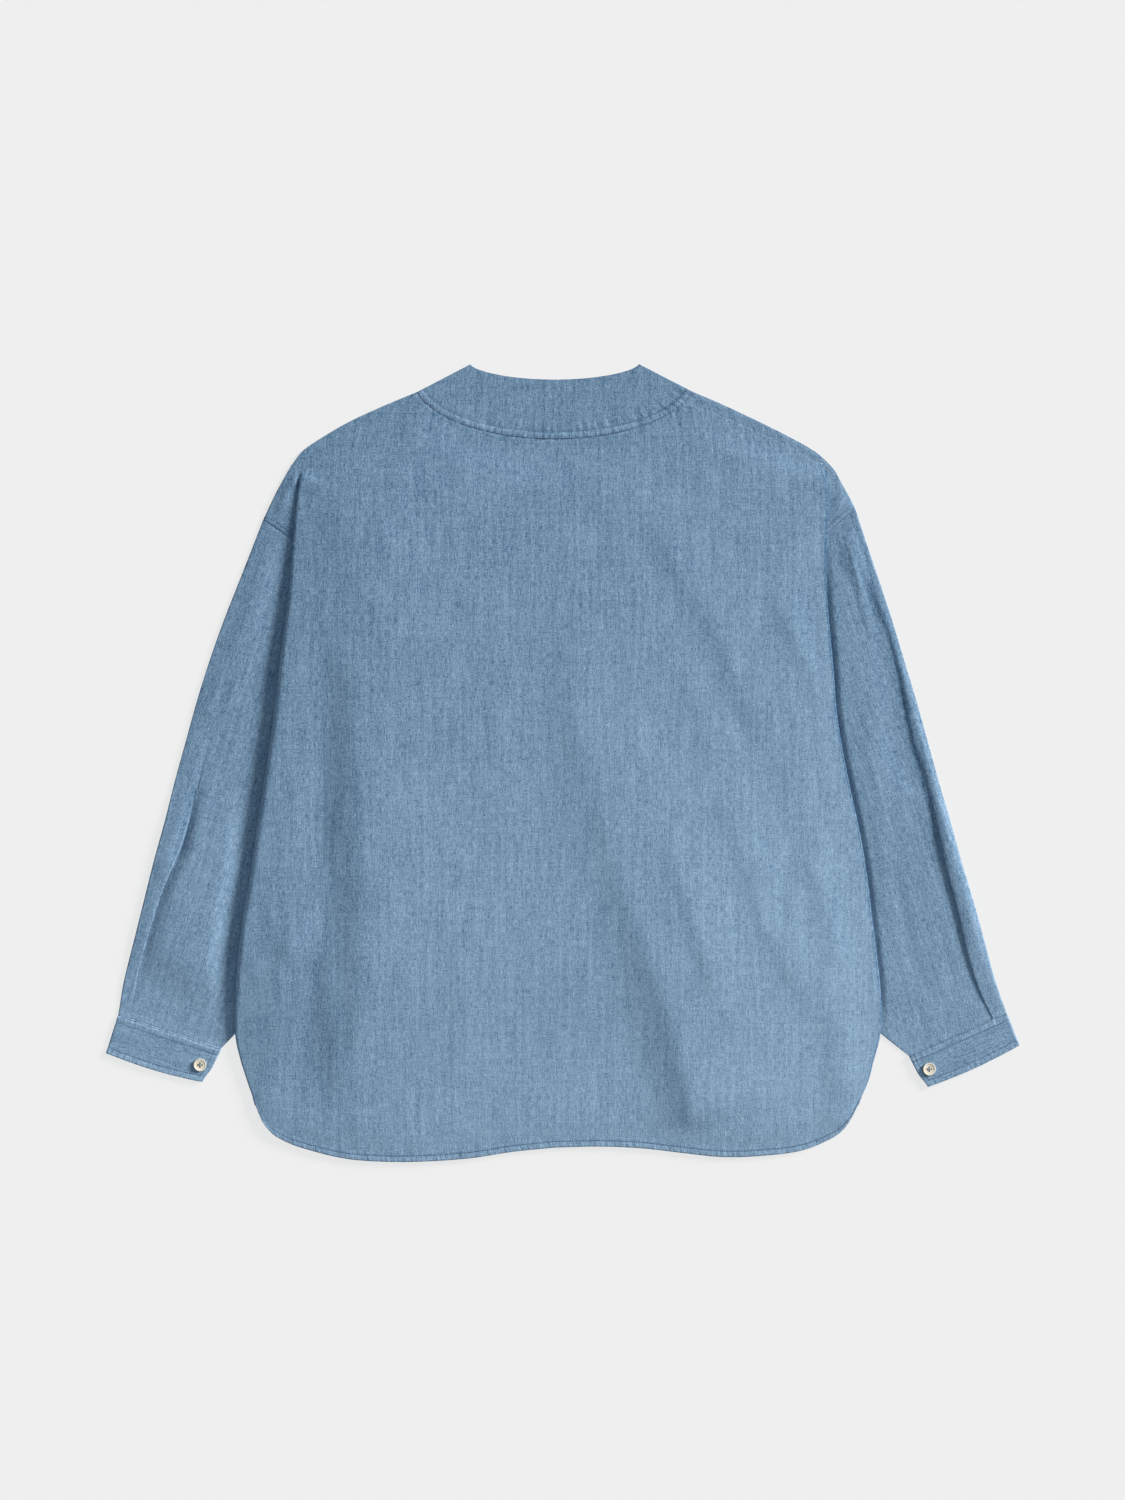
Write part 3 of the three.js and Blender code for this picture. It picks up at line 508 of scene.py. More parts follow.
def back_half_row(side, end, shares):
    """One side of a row of the back panel from its cut edge in: place, height, distance from the edge and bed."""
    y_end = end[side][1]
    hem = end["hem"]
    middle = centre_height(end["left"][1], end["right"][1], NECK["back"], NECK_REACH["back"])
    fold = body_fold(side, y_end)
    upper, length, lower = fold["upper"], fold["length"], fold["lower"]
    keys = [mix(fold["cut"], fold["whole"], k / LOWER_KEYS) for k in range(LOWER_KEYS)]
    keys += [upper + length + lower * (1 - k / (TURN_KEYS - 1)) for k in range(TURN_KEYS)]
    keys += [upper + length * (1 - (k + 1) / (UNDER_KEYS + 1)) for k in range(UNDER_KEYS)]
    keys += [upper * (1 - k / RIDGE_KEYS) for k in range(RIDGE_KEYS)]
    narrow = KEY_NARROW
    if y_end < UNDERARM_Y:
        narrow = min(KEY_GAP, KEY_SHARE * length / (LOWER_KEYS + TURN_KEYS))
    furthest = fold["start"] + fold["cut"]

    def height(out, hem_drop):
        plain = y_end + (middle - y_end) * neck_share(out / furthest) * (1 - hem)
        return plain + hem * hem_drop

    turn_drop = HEM_TURN_Y - CORNER_Y
    row = []
    for i, key in enumerate(keys):
        along = min(key, fold["cut"] - narrow * i)
        y = height(fold["start"] + along, turn_drop * (1 - max(along, 0) / fold["cut"]))
        here = body_fold(side, fold_height(side, y_end, y))
        run, drop = fold_at(along, {**here, "length": length})
        out = here["start"] + run
        z = TOP + here["rise"] - drop
        if y < ARMHOLE[side][ARM_MIDDLE]["y"] and along > here["upper"]:
            z -= LAYER * ease((READ_INNER[side](y) - SEAM_CLEAR - out) / SEAM_DROP)
        row.append((placed(side, out), y, z, 0.0, z))
    edge_y = height(fold["start"], turn_drop)
    edge = body_fold(side, fold_height(side, y_end, edge_y))["start"] + min(0, fold["cut"] - narrow * len(keys))
    for share in shares:
        out = edge * share
        y = height(out, READ_HEM[side](share) - CORNER_Y)
        here = body_fold(side, fold_height(side, y_end, y))
        if y < ARMHOLE[side][ARM_CREASE]["y"]:
            bottom = seam_at(side, y)
        else:
            bottom = here["start"] + fold_at(here["whole"], here)[0]
        held = mix(LIFT["middle"], LIFT[side], ease(out / bottom)) * body_lift(y)
        held *= ease((NECK["top"] - y_end) / NECK_CALM)
        z = TOP + mix(held, here["rise"], ease((out - (bottom - LIFT_EDGE - LIFT_NEAR)) / LIFT_NEAR))
        over = ease((out - bottom + BED_REACH) / BED_GROWN) if y < ARMHOLE[side][ARM_CREASE]["y"] else 1.0
        bed = mix(TOP - BED_LOW, min(UNDER + BED, z - BED_GAP), over)
        row.append((placed(side, out), y, z, edge - out + FREE_EDGE, bed))
    return row


def crease_height(points, creases):
    """Sum of the folds' heights, or of their painted shade, at an array of points."""
    total = np.zeros(points.shape[:-1])
    for crease in creases:
        samples = curve_through(np.array(crease["route"], float), CREASE_STEPS)
        best = np.full(total.shape, 1e9)
        side = np.zeros(total.shape)
        place = np.zeros(total.shape)
        for k in range(len(samples) - 1):
            a, b = samples[k], samples[k + 1]
            step = b - a
            t = np.clip(((points - a) @ step) / (step @ step), 0, 1)
            away = points - a - t[..., None] * step
            distance = np.hypot(away[..., 0], away[..., 1])
            near = distance < best
            cross = step[0] * away[..., 1] - step[1] * away[..., 0]
            best = np.where(near, distance, best)
            side = np.where(near, np.tanh(cross / np.hypot(*step) / CREASE_BLEND), side)
            place = np.where(near, (k + t) / (len(samples) - 1), place)
        left, right = crease["wide"]
        wide = mix(left, right, (side + 1) / 2)
        taper = mix(CREASE_END, 1, ease_all(place / CREASE_IN) * ease_all((1 - place) / CREASE_OUT))
        total += mix(*crease["high"], place) * taper * np.exp(-((best / wide) ** CREASE_POWER))
    return total


def curve_through(route, count):
    """A smooth line through a few points."""
    ends = np.vstack([2 * route[0] - route[1], route, 2 * route[-1] - route[-2]])
    line = []
    for k in range(count + 1):
        place = k / count * (len(route) - 1)
        i = min(int(place), len(route) - 2)
        t = place - i
        p = ends[i : i + 4]
        line.append(
            0.5
            * (
                2 * p[1]
                + (p[2] - p[0]) * t
                + (2 * p[0] - 5 * p[1] + 4 * p[2] - p[3]) * t * t
                + (3 * p[1] - p[0] - 3 * p[2] + p[3]) * t**3
            )
        )
    return np.array(line)


def crumple(points, size, seed):
    """Soft unevenness of washed cloth, from -1 to 1, for an array of flat points."""
    flat = points.reshape(-1, 2) / size
    values = [noise.fractal((x, y, seed), 0.6, 2.1, 3) for x, y in flat]
    return np.array(values).reshape(points.shape[:-1])


def edge_distance(rows, row=None, column=None):
    """Distance over the cloth from one edge of a grid, along its columns or its rows."""
    axis = 0 if row is not None else 1
    steps = np.linalg.norm(np.diff(rows, axis=axis), axis=-1)
    zero = np.zeros_like(np.take(steps, [0], axis=axis))
    whole = np.concatenate([zero, np.cumsum(steps, axis=axis)], axis=axis)
    last = (row if row is not None else column) == -1
    return np.take(whole, [-1], axis=axis) - whole if last else whole


def grid_normals(rows, ring=False):
    if ring:
        across = np.roll(rows, -1, axis=1) - np.roll(rows, 1, axis=1)
    else:
        across = np.gradient(rows, axis=1)
    normals = np.cross(across, np.gradient(rows, axis=0))
    return normals / np.maximum(np.linalg.norm(normals, axis=-1, keepdims=True), 1e-12)


def make_object(name, verts, faces):
    mesh = bpy.data.meshes.new(name)
    mesh.from_pydata([tuple(v) for v in verts], [], faces)
    mesh.validate()
    mesh.update()
    shown = bpy.data.objects.new(name, mesh)
    bpy.context.scene.collection.objects.link(shown)
    return shown


def cloth(name, rows, thick, grain, sewn, ring=False):
    """A closed cloth wall on a grid of points in millimetres.

    thick is the wall, one number or one for each point. grain holds each point's place on the flat cloth, and sewn
    its distance from the nearest sewn edge and its place along that edge, all in millimetres, and the painted shade
    it carries."""
    high, wide = rows.shape[:2]
    half = np.broadcast_to(np.asarray(thick, float) / 2, (high, wide))[..., None]
    normals = grid_normals(rows, ring)
    shift = np.array([SHIFT_X, SHIFT_Y, 0])
    layers = np.stack([rows + normals * half, rows - normals * half]) + shift
    verts = layers.reshape(-1, 3) * MM
    index = np.arange(2 * high * wide).reshape(2, high, wide)
    if ring:
        index = np.concatenate([index, index[:, :, :1]], axis=2)

    def quads(a, b, c, d):
        return np.stack([a, b, c, d], axis=-1).reshape(-1, 4)

    top, low = index
    faces = [
        quads(top[:-1, :-1], top[:-1, 1:], top[1:, 1:], top[1:, :-1]),
        quads(low[:-1, :-1], low[1:, :-1], low[1:, 1:], low[:-1, 1:]),
        quads(top[0, :-1], low[0, :-1], low[0, 1:], top[0, 1:]),
        quads(top[-1, :-1], top[-1, 1:], low[-1, 1:], low[-1, :-1]),
    ]
    if not ring:
        faces.append(quads(top[:-1, 0], top[1:, 0], low[1:, 0], low[:-1, 0]))
        faces.append(quads(top[:-1, -1], low[:-1, -1], low[1:, -1], top[1:, -1]))
    faces = np.concatenate(faces)
    if signed_volume(verts, faces) < 0:
        faces = faces[:, ::-1]
    shown = make_object(name, verts, faces.tolist())
    mesh = shown.data
    loops = np.zeros(len(mesh.loops), int)
    mesh.loops.foreach_get("vertex_index", loops)
    flat = np.concatenate([grain.reshape(-1, 2)] * 2) * MM
    layer = mesh.uv_layers.new(name="grain")
    layer.data.foreach_set("uv", flat[loops].ravel())
    # The third value of sewn is painted shade
    marks = np.concatenate([sewn.reshape(-1, sewn.shape[-1])] * 2) * MM
    attribute = mesh.attributes.new("sewn", "FLOAT_VECTOR", "POINT")
    attribute.data.foreach_set("vector", np.pad(marks, ((0, 0), (0, 3 - sewn.shape[-1]))).ravel())
    mesh.polygons.foreach_set("use_smooth", [True] * len(mesh.polygons))
    return shown


def signed_volume(verts, faces):
    a, b, c, d = (verts[faces[:, k]] for k in range(4))
    return float(np.sum(a * np.cross(b, c)) + np.sum(a * np.cross(c, d)))


def lengths(rows):
    """Place of every point of a grid on its flat cloth, measured along its rows and down from the first."""
    down = np.concatenate([np.zeros((1, rows.shape[1])), np.linalg.norm(np.diff(rows, axis=0), axis=-1)])
    across = np.concatenate([np.zeros((rows.shape[0], 1)), np.linalg.norm(np.diff(rows, axis=1), axis=-1)], axis=1)
    return np.stack([np.cumsum(across, axis=1), np.cumsum(down, axis=0)], axis=-1)


def inset_line(rows, normals, distance, row):
    """The line on a grid at a distance from its first or last row, with its normals."""
    away = edge_distance(rows, row=row)
    line, upward = [], []
    for column in range(rows.shape[1]):
        reach = away[:, column]
        order = np.argsort(reach)
        place = [np.interp(distance, reach[order], rows[order, column, k]) for k in range(3)]
        lean = [np.interp(distance, reach[order], normals[order, column, k]) for k in range(3)]
        line.append(place)
        upward.append(lean)
    return np.array(line), np.array(upward)


# Node groups and materials


def group_socket(tree, name, way, kind="NodeSocketFloat", default=None):
    socket = tree.interface.new_socket(name=name, in_out=way, socket_type=kind)
    if default is not None:
        socket.default_value = default
    return socket


def link(tree, a, b):
    tree.links.new(a, b)


def math_node(tree, operation, a, b=None, clamped=False):
    node = tree.nodes.new("ShaderNodeMath")
    node.operation = operation
    node.use_clamp = clamped
    for socket, value in zip(node.inputs, (a, b)):
        if value is None:
            continue
        if isinstance(value, (int, float)):
            socket.default_value = value
        else:
            link(tree, value, socket)
    return node.outputs[0]


def scaled_noise(tree, vector, scale, detail, roughness=0.5):
    """Noise stretched over the cloth: scale is repeats a metre across and along it."""
    mapping = tree.nodes.new("ShaderNodeMapping")
    mapping.inputs["Scale"].default_value = (*scale, 1)
    link(tree, vector, mapping.inputs["Vector"])
    texture = tree.nodes.new("ShaderNodeTexNoise")
    texture.inputs["Scale"].default_value = 1
    texture.inputs["Detail"].default_value = detail
    texture.inputs["Roughness"].default_value = roughness
    link(tree, mapping.outputs["Vector"], texture.inputs["Vector"])
    return texture.outputs["Fac"]


def weave_group():
    """Plain-woven chambray: speckled pale and deep yarns, slubs and faint streaks down and across the cloth."""
    tree = bpy.data.node_groups.new("chambray weave", "ShaderNodeTree")
    group_socket(tree, "Grain", "INPUT", "NodeSocketVector")
    group_socket(tree, "Contrast", "INPUT", default=1.0)
    group_socket(tree, "Tone", "OUTPUT")
    group_socket(tree, "Height", "OUTPUT")
    enter = tree.nodes.new("NodeGroupInput")
    leave = tree.nodes.new("NodeGroupOutput")
    grain = enter.outputs["Grain"]
    layers = (
        ((760, 640), 2, 1.4),
        ((820, 150), 2, 1.2),
        ((130, 820), 2, 0.6),
        ((250, 17), 2, 0.66),
        ((13, 360), 2, 0.24),
        ((70, 50), 2, 0.22),
        ((14, 10), 2, 0.1),
    )
    total = None
    for scale, detail, strength in layers:
        yarn = scaled_noise(tree, grain, scale, detail, 0.55)
        part = math_node(tree, "MULTIPLY", math_node(tree, "SUBTRACT", yarn, 0.5), strength)
        total = part if total is None else math_node(tree, "ADD", total, part)
    tone = math_node(tree, "MULTIPLY", total, enter.outputs["Contrast"])
    link(tree, math_node(tree, "ADD", tone, 0.5, clamped=True), leave.inputs["Tone"])
    threads = []
    for axis in ("X", "Y"):
        wave = tree.nodes.new("ShaderNodeTexWave")
        wave.bands_direction = axis
        wave.inputs["Scale"].default_value = 320
        wave.inputs["Distortion"].default_value = 0.6
        link(tree, grain, wave.inputs["Vector"])
        threads.append(wave.outputs["Fac"])
    grid = math_node(tree, "MULTIPLY", math_node(tree, "ADD", *threads), 0.3)
    link(tree, math_node(tree, "ADD", total, grid), leave.inputs["Height"])
    return tree


def seam_group():
    """Puckers, wear and painted shade lines at sewn edges, from a distance, a place along them and a painted
    darkness.
    """
    tree = bpy.data.node_groups.new("seam wear and shade", "ShaderNodeTree")
    group_socket(tree, "Sewn", "INPUT", "NodeSocketVector")
    group_socket(tree, "Reach", "INPUT", default=0.009)
    group_socket(tree, "Pucker", "OUTPUT")
    group_socket(tree, "Wear and shade", "OUTPUT")
    enter = tree.nodes.new("NodeGroupInput")
    leave = tree.nodes.new("NodeGroupOutput")
    split = tree.nodes.new("ShaderNodeSeparateXYZ")
    link(tree, enter.outputs["Sewn"], split.inputs["Vector"])
    near = math_node(tree, "SUBTRACT", 1.0, math_node(tree, "DIVIDE", split.outputs["X"], enter.outputs["Reach"]))
    mask = math_node(tree, "MAXIMUM", near, 0.0)
    ripple = scaled_noise(tree, enter.outputs["Sewn"], (80, 300), 2, 0.55)
    link(tree, math_node(tree, "MULTIPLY", math_node(tree, "POWER", mask, 0.6), ripple), leave.inputs["Pucker"])
    rub = math_node(tree, "MULTIPLY", mask, math_node(tree, "SUBTRACT", ripple, 0.42))
    # Painted shade: the darkness stored in the third value is taken off the tone, along with the real seam wear
    shade = math_node(tree, "MULTIPLY", split.outputs["Z"], 1 / MM)
    wear_and_shade = math_node(tree, "SUBTRACT", math_node(tree, "MULTIPLY", rub, 1.3), shade)
    link(tree, wear_and_shade, leave.inputs["Wear and shade"])
    return tree


def new_material(name, roughness):
    material = bpy.data.materials.new(name)
    material.use_nodes = True
    tree = material.node_tree
    shader = tree.nodes["Principled BSDF"]
    shader.inputs["Roughness"].default_value = roughness
    return material, tree, shader


def colour_mix(tree, share, low, high):
    node = tree.nodes.new("ShaderNodeMix")
    node.data_type = "RGBA"
    node.clamp_factor = True
    link(tree, share, node.inputs["Factor"])
    node.inputs["A"].default_value = (*low, 1)
    node.inputs["B"].default_value = (*high, 1)
    return node.outputs["Result"]


def bumped(tree, height, strength, distance, under=None):
    """The surface direction that a height gives, laid over another one if there is one."""
    bump = tree.nodes.new("ShaderNodeBump")
    bump.inputs["Strength"].default_value = strength
    bump.inputs["Distance"].default_value = distance
    link(tree, height, bump.inputs["Height"])
    if under is not None:
        link(tree, under, bump.inputs["Normal"])
    return bump.outputs["Normal"]


def denim_material(name, colours, light_slant, deep):
    """Washed chambray for one piece: its weave, painted light that grows paler down the shirt and to the right, wear
    and painted shade at the seams, and a soft nap.
    """
    material, tree, shader = new_material(name, 0.88)
    grain = tree.nodes.new("ShaderNodeUVMap")
    grain.uv_map = "grain"
    weave = tree.nodes.new("ShaderNodeGroup")
    weave.node_tree = bpy.data.node_groups.get("chambray weave") or weave_group()
    weave.inputs["Contrast"].default_value = WEAVE_CONTRAST
    link(tree, grain.outputs["UV"], weave.inputs["Grain"])
    marks = tree.nodes.new("ShaderNodeAttribute")
    marks.attribute_name = "sewn"
    seam = tree.nodes.new("ShaderNodeGroup")
    seam.node_tree = bpy.data.node_groups.get("seam wear and shade") or seam_group()
    link(tree, marks.outputs["Vector"], seam.inputs["Sewn"])
    place = tree.nodes.new("ShaderNodeTexCoord")
    split = tree.nodes.new("ShaderNodeSeparateXYZ")
    link(tree, place.outputs["Object"], split.inputs["Vector"])
    # Painted light: the tone is made paler towards the hem and, on the body, towards the right, in place of the
    # light's fall-off
    down = math_node(tree, "MULTIPLY", split.outputs["Y"], -colours.fade / 0.75)
    across = math_node(tree, "MULTIPLY", split.outputs["X"], light_slant * colours.fade / 0.75)
    fade = math_node(tree, "ADD", down, across)
    tone = math_node(tree, "ADD", weave.outputs["Tone"], seam.outputs["Wear and shade"])
    tone = math_node(tree, "SUBTRACT", tone, deep)
    tone = math_node(tree, "ADD", tone, fade, clamped=True)
    link(tree, colour_mix(tree, tone, colours.yarn_dark, colours.yarn_pale), shader.inputs["Base Color"])
    pucker = bumped(tree, seam.outputs["Pucker"], 0.9, 0.8 * MM)
    link(tree, bumped(tree, weave.outputs["Height"], 0.4, 0.3 * MM, pucker), shader.inputs["Normal"])
    shader.inputs["Specular IOR Level"].default_value = 0.25
    shader.inputs["Sheen Weight"].default_value = 0.1
    shader.inputs["Sheen Roughness"].default_value = 0.5
    return material


def thread_material(name, colour, roughness):
    """Sewing thread: a tight twist seen as fine slanting bands."""
    material, tree, shader = new_material(name, roughness)
    place = tree.nodes.new("ShaderNodeTexCoord")
    twist = tree.nodes.new("ShaderNodeTexWave")
    twist.bands_direction = "DIAGONAL"
    twist.inputs["Scale"].default_value = 900
    twist.inputs["Distortion"].default_value = 1.5
    link(tree, place.outputs["Object"], twist.inputs["Vector"])
    pale = tuple(min(c * 2.2 + 0.01, 1) for c in colour)
    link(tree, colour_mix(tree, twist.outputs["Fac"], colour, pale), shader.inputs["Base Color"])
    link(tree, bumped(tree, twist.outputs["Fac"], 0.4, 0.1 * MM), shader.inputs["Normal"])
    return material


def shell_material(name, colours):
    """Cream button shell with a tan bloom and faint growth lines."""
    material, tree, shader = new_material(name, 0.32)
    place = tree.nodes.new("ShaderNodeTexCoord")
    cloud = scaled_noise(tree, place.outputs["Object"], (160, 90), 3)
    grain = scaled_noise(tree, place.outputs["Object"], (900, 240), 2)
    tint = math_node(tree, "ADD", math_node(tree, "MULTIPLY", cloud, 2.2), -0.35, clamped=True)
    base = colour_mix(tree, tint, colours.button_tan, colours.button)
    link(tree, base, shader.inputs["Base Color"])
    link(tree, bumped(tree, grain, 0.2, 0.1 * MM), shader.inputs["Normal"])
    shader.inputs["Coat Weight"].default_value = 0.35
    shader.inputs["Coat Roughness"].default_value = 0.2
    return material


def floor_material(name, colours):
    material, tree, shader = new_material(name, 0.95)
    place = tree.nodes.new("ShaderNodeTexCoord")
    speck = scaled_noise(tree, place.outputs["Object"], (900, 900), 2)
    near = tuple(c * 0.985 for c in colours.floor)
    link(tree, colour_mix(tree, speck, near, colours.floor), shader.inputs["Base Color"])
    shader.inputs["Specular IOR Level"].default_value = 0.1
    shader.inputs["Emission Color"].default_value = (1, 1, 1, 1)
    shader.inputs["Emission Strength"].default_value = colours.glow
    return material


def once(name, maker, *values):
    """A material that is made at its first use."""
    return bpy.data.materials.get(name) or maker(name, *values)


def dress(piece, material, slot, *nodes):
    piece.data.materials.clear()
    piece.data.materials.append(material)
    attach(piece, "root")
    if nodes:
        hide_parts(*nodes)
    return piece


# Sewing


def resample(line, upward, pitch):
    """Points at an even pitch along a line, with directions and normals."""
    steps = np.linalg.norm(np.diff(line, axis=0), axis=1)
    along = np.concatenate([[0], np.cumsum(steps)])
    count = int(along[-1] / pitch)
    places = (np.arange(count) + 0.5) * pitch
    points = np.stack([np.interp(places, along, line[:, k]) for k in range(3)], axis=1)
    ahead = np.stack([np.interp(places + 0.3, along, line[:, k]) for k in range(3)], axis=1)
    behind = np.stack([np.interp(places - 0.3, along, line[:, k]) for k in range(3)], axis=1)
    ways = ahead - behind
    ways /= np.maximum(np.linalg.norm(ways, axis=1, keepdims=True), 1e-9)
    normals = np.stack([np.interp(places, along, upward[:, k]) for k in range(3)], axis=1)
    normals /= np.maximum(np.linalg.norm(normals, axis=1, keepdims=True), 1e-9)
    return points, ways, normals


STITCH_RINGS = ((-1.0, 0.0), (-0.78, 0.8), (0.0, 1.0), (0.78, 0.8), (1.0, 0.0))
STITCH_SIDES = 6


def stitch_rows(name, lines, sewing, lift):
    """Every stitch of some rows as one mesh. Each line is its points and normals in millimetres."""
    rng = np.random.default_rng(7)
    length, wide, high = sewing.stitch / MM / 2, sewing.thread / MM / 2, sewing.thread / MM * 0.42
    verts, faces = [], []
    angles = np.arange(STITCH_SIDES) * 2 * math.pi / STITCH_SIDES
    for line, upward in lines:
        points, ways, normals = resample(line, upward, sewing.pitch / MM)
        for point, way, up in zip(points, ways, normals):
            across = np.cross(up, way)
            turn = rng.normal(0, 0.07)
            turned = way * math.cos(turn) + across * math.sin(turn)
            across = across * math.cos(turn) - way * math.sin(turn)
            way = turned
            stretch = 1 + rng.normal(0, 0.06)
            first = len(verts)
            base = point + up * lift
            for place, size in STITCH_RINGS:
                centre = base + way * place * length * stretch - up * (1 - size) * high * 0.9
                if size == 0:
                    verts.append(centre)
                    continue
                for angle in angles:
                    verts.append(centre + across * math.cos(angle) * wide * size + up * math.sin(angle) * high * size)
            n = STITCH_SIDES
            for k in range(n):
                following = (k + 1) % n
                faces.append((first, first + 1 + following, first + 1 + k))
                for ring in range(2):
                    low = first + 1 + ring * n
                    faces.append((low + k, low + following, low + n + following, low + n + k))
                faces.append((first + 1 + 3 * n, first + 1 + 2 * n + k, first + 1 + 2 * n + following))
    verts = (np.array(verts) + [SHIFT_X, SHIFT_Y, 0]) * MM
    shown = make_object(name, verts, faces)
    shown.data.polygons.foreach_set("use_smooth", [True] * len(faces))
    return shown


# Property groups


def number_property(name, description, default):
    return bpy.props.FloatProperty(name=name, description=description, default=default)


def length_property(name, description, millimetres):
    return bpy.props.FloatProperty(name=name, description=description, default=millimetres * MM, unit="LENGTH")


def angle_property(name, description, degrees):
    radians = math.radians(degrees)
    return bpy.props.FloatProperty(name=name, description=description, default=radians, subtype="ANGLE")


def colour_property(name, description, default):
    return bpy.props.FloatVectorProperty(
        name=name, description=description, default=default, size=3, subtype="COLOR", min=0, max=1
    )


class ShirtCloth(bpy.types.PropertyGroup):
    """How the cloth is made."""

    wall: length_property("Cloth", "Thickness of one layer of cloth", 1.0)
    hem_wall: length_property("Hem", "Thickness of the turned hem", 1.5)
    hem_depth: length_property("Hem depth", "Depth of the turned hem", 5.9)
    crumple: length_property("Crumple", "Height of the washed cloth's unevenness", 0.22)
    columns: bpy.props.IntProperty(name="Columns", description="Columns in half of the back panel", default=78)


class ShirtSewing(bpy.types.PropertyGroup):
    """Thread and stitches."""

    pitch: length_property("Pitch", "From one stitch to the next", 2.1)
    stitch: length_property("Stitch", "Length of the thread that shows", 1.8)
    thread: length_property("Thread", "Width of the thread", 0.9)
    seam_row: length_property("Seam row", "From the seam to its first row", 1.0)
    second_row: length_property("Second row", "From the seam to its second row", 7.2)


class ShirtColours(bpy.types.PropertyGroup):
    """Colours of the shirt and the studio."""

    yarn_dark: colour_property("Dark yarn", "Deepest indigo of the weave", (0.048, 0.12, 0.22))
    yarn_pale: colour_property("Pale yarn", "Palest yarn of the weave", (0.318, 0.475, 0.638))
    # Painted light: how much paler the cloth is painted from the neck to the hem, in place of the light's fall-off
    fade: number_property("Fade", "How much paler the cloth grows from the neck to the hem", 0.26)
    thread: colour_property("Thread", "Sewing thread", (0.068, 0.112, 0.185))
    loop: colour_property("Button thread", "Thread that holds the buttons", (0.13, 0.16, 0.19))
    bar: colour_property("Buttonhole thread", "Bar stitches round the buttonholes", (0.2, 0.29, 0.38))
    button: colour_property("Button", "Button shell", (0.84, 0.8, 0.68))
    button_tan: colour_property("Button tint", "Tan bloom of the button", (0.6, 0.43, 0.22))
    floor: colour_property("Floor", "Studio floor", (0.12, 0.12, 0.12))
    glow: number_property("Floor glow", "Light the floor gives by itself", 0.746)


class ShirtStudio(bpy.types.PropertyGroup):
    """Light and camera."""

    lens: number_property("Lens", "Focal length in millimetres", 100.0)
    key: number_property("Key light", "Strength of the key light", 5.2)
    key_angle: angle_property("Key softness", "How wide the key light spreads", 20)
    key_height: angle_property("Key height", "Height of the key light", 23)
    key_turn: angle_property("Key turn", "Turn of the key light from the right to the neck", 30)
    fill: number_property("Fill light", "Strength of the light all round", 0.375)
    key_colour: colour_property("Key colour", "Colour of the key light", (1.0, 0.953, 0.915))
    fill_colour: colour_property("Fill colour", "Colour of the light all round", (0.8, 0.91, 1.0))


# Pieces


def settings():
    return bpy.context.scene.shirt_cloth, bpy.context.scene.shirt_sewing, bpy.context.scene.shirt_colours


def denim(name, light_slant=0.0, deep=0.0):
    """Chambray with painted light that grows paler down the shirt, and to the right by the given share, and darker by
    deep.
    """
    return once(name, denim_material, bpy.context.scene.shirt_colours, light_slant, deep)


def navy_thread():
    return once("navy thread", thread_material, bpy.context.scene.shirt_colours.thread, 0.7)


def back_grid():
    """Points of the back panel's middle surface, laid, folded and creased."""
    made, _, _ = settings()
    shares = spread_shares(made.columns)
    rows = []
    for end in row_ends(*BACK_ROWS):
        left = back_half_row("left", end, shares)
        right = back_half_row("right", end, shares)[::-1]
        rows.append(left + right[1:])
    rows = np.array(rows)
    flat, free, bed = rows[..., :2], rows[..., 3], rows[..., 4]
    grid = rows[..., :3].copy()
    from_neck = edge_distance(grid, row=0)
    from_hem = edge_distance(grid, row=-1)
    calm = np.minimum(np.minimum(from_neck, free), from_hem * 1.3 + 7)
    soft = ease_all(calm / EDGE_CALM)
    high = BACK_AIR + crease_height(flat, BACK_CREASES)
    worn = crumple(flat, 26.0, 3.1) * made.crumple / MM
    main = ease_all((free - 4) / 10)
    grid[..., 2] = np.maximum(grid[..., 2] + high * soft, bed) + worn * ease_all(calm / WORN_CALM) * main
    ripple = crumple(flat * [1, 0.35], 7.5, 9.4)
    grid[..., 2] += 0.5 * ridge_line(from_hem, 2, 6) * ripple
    grid[..., 2] += 0.3 * ridge_line(from_neck, 0, 7) * ripple * (free > 0)
    grid[..., 2] -= TUCK_DROP * tucked(from_neck, NECK_TUCK)
    for side in SIDES:
        lap_armhole(side, side_first(side, grid))
    return grid, from_neck, from_hem


def side_first(side, rows):
    """A grid with its columns counted from one side's edge."""
    return rows if side == "left" else rows[:, ::-1]


def tucked(distance, wide):
    """How far a cloth's edge is tucked under the piece that laps it."""
    return ease_all((wide - distance) / 0.8)


def ridge_line(distance, place, wide):
    """A soft line, from 0 to 1, at a distance from an edge."""
    return np.exp(-(((distance - place) / wide) ** 2))


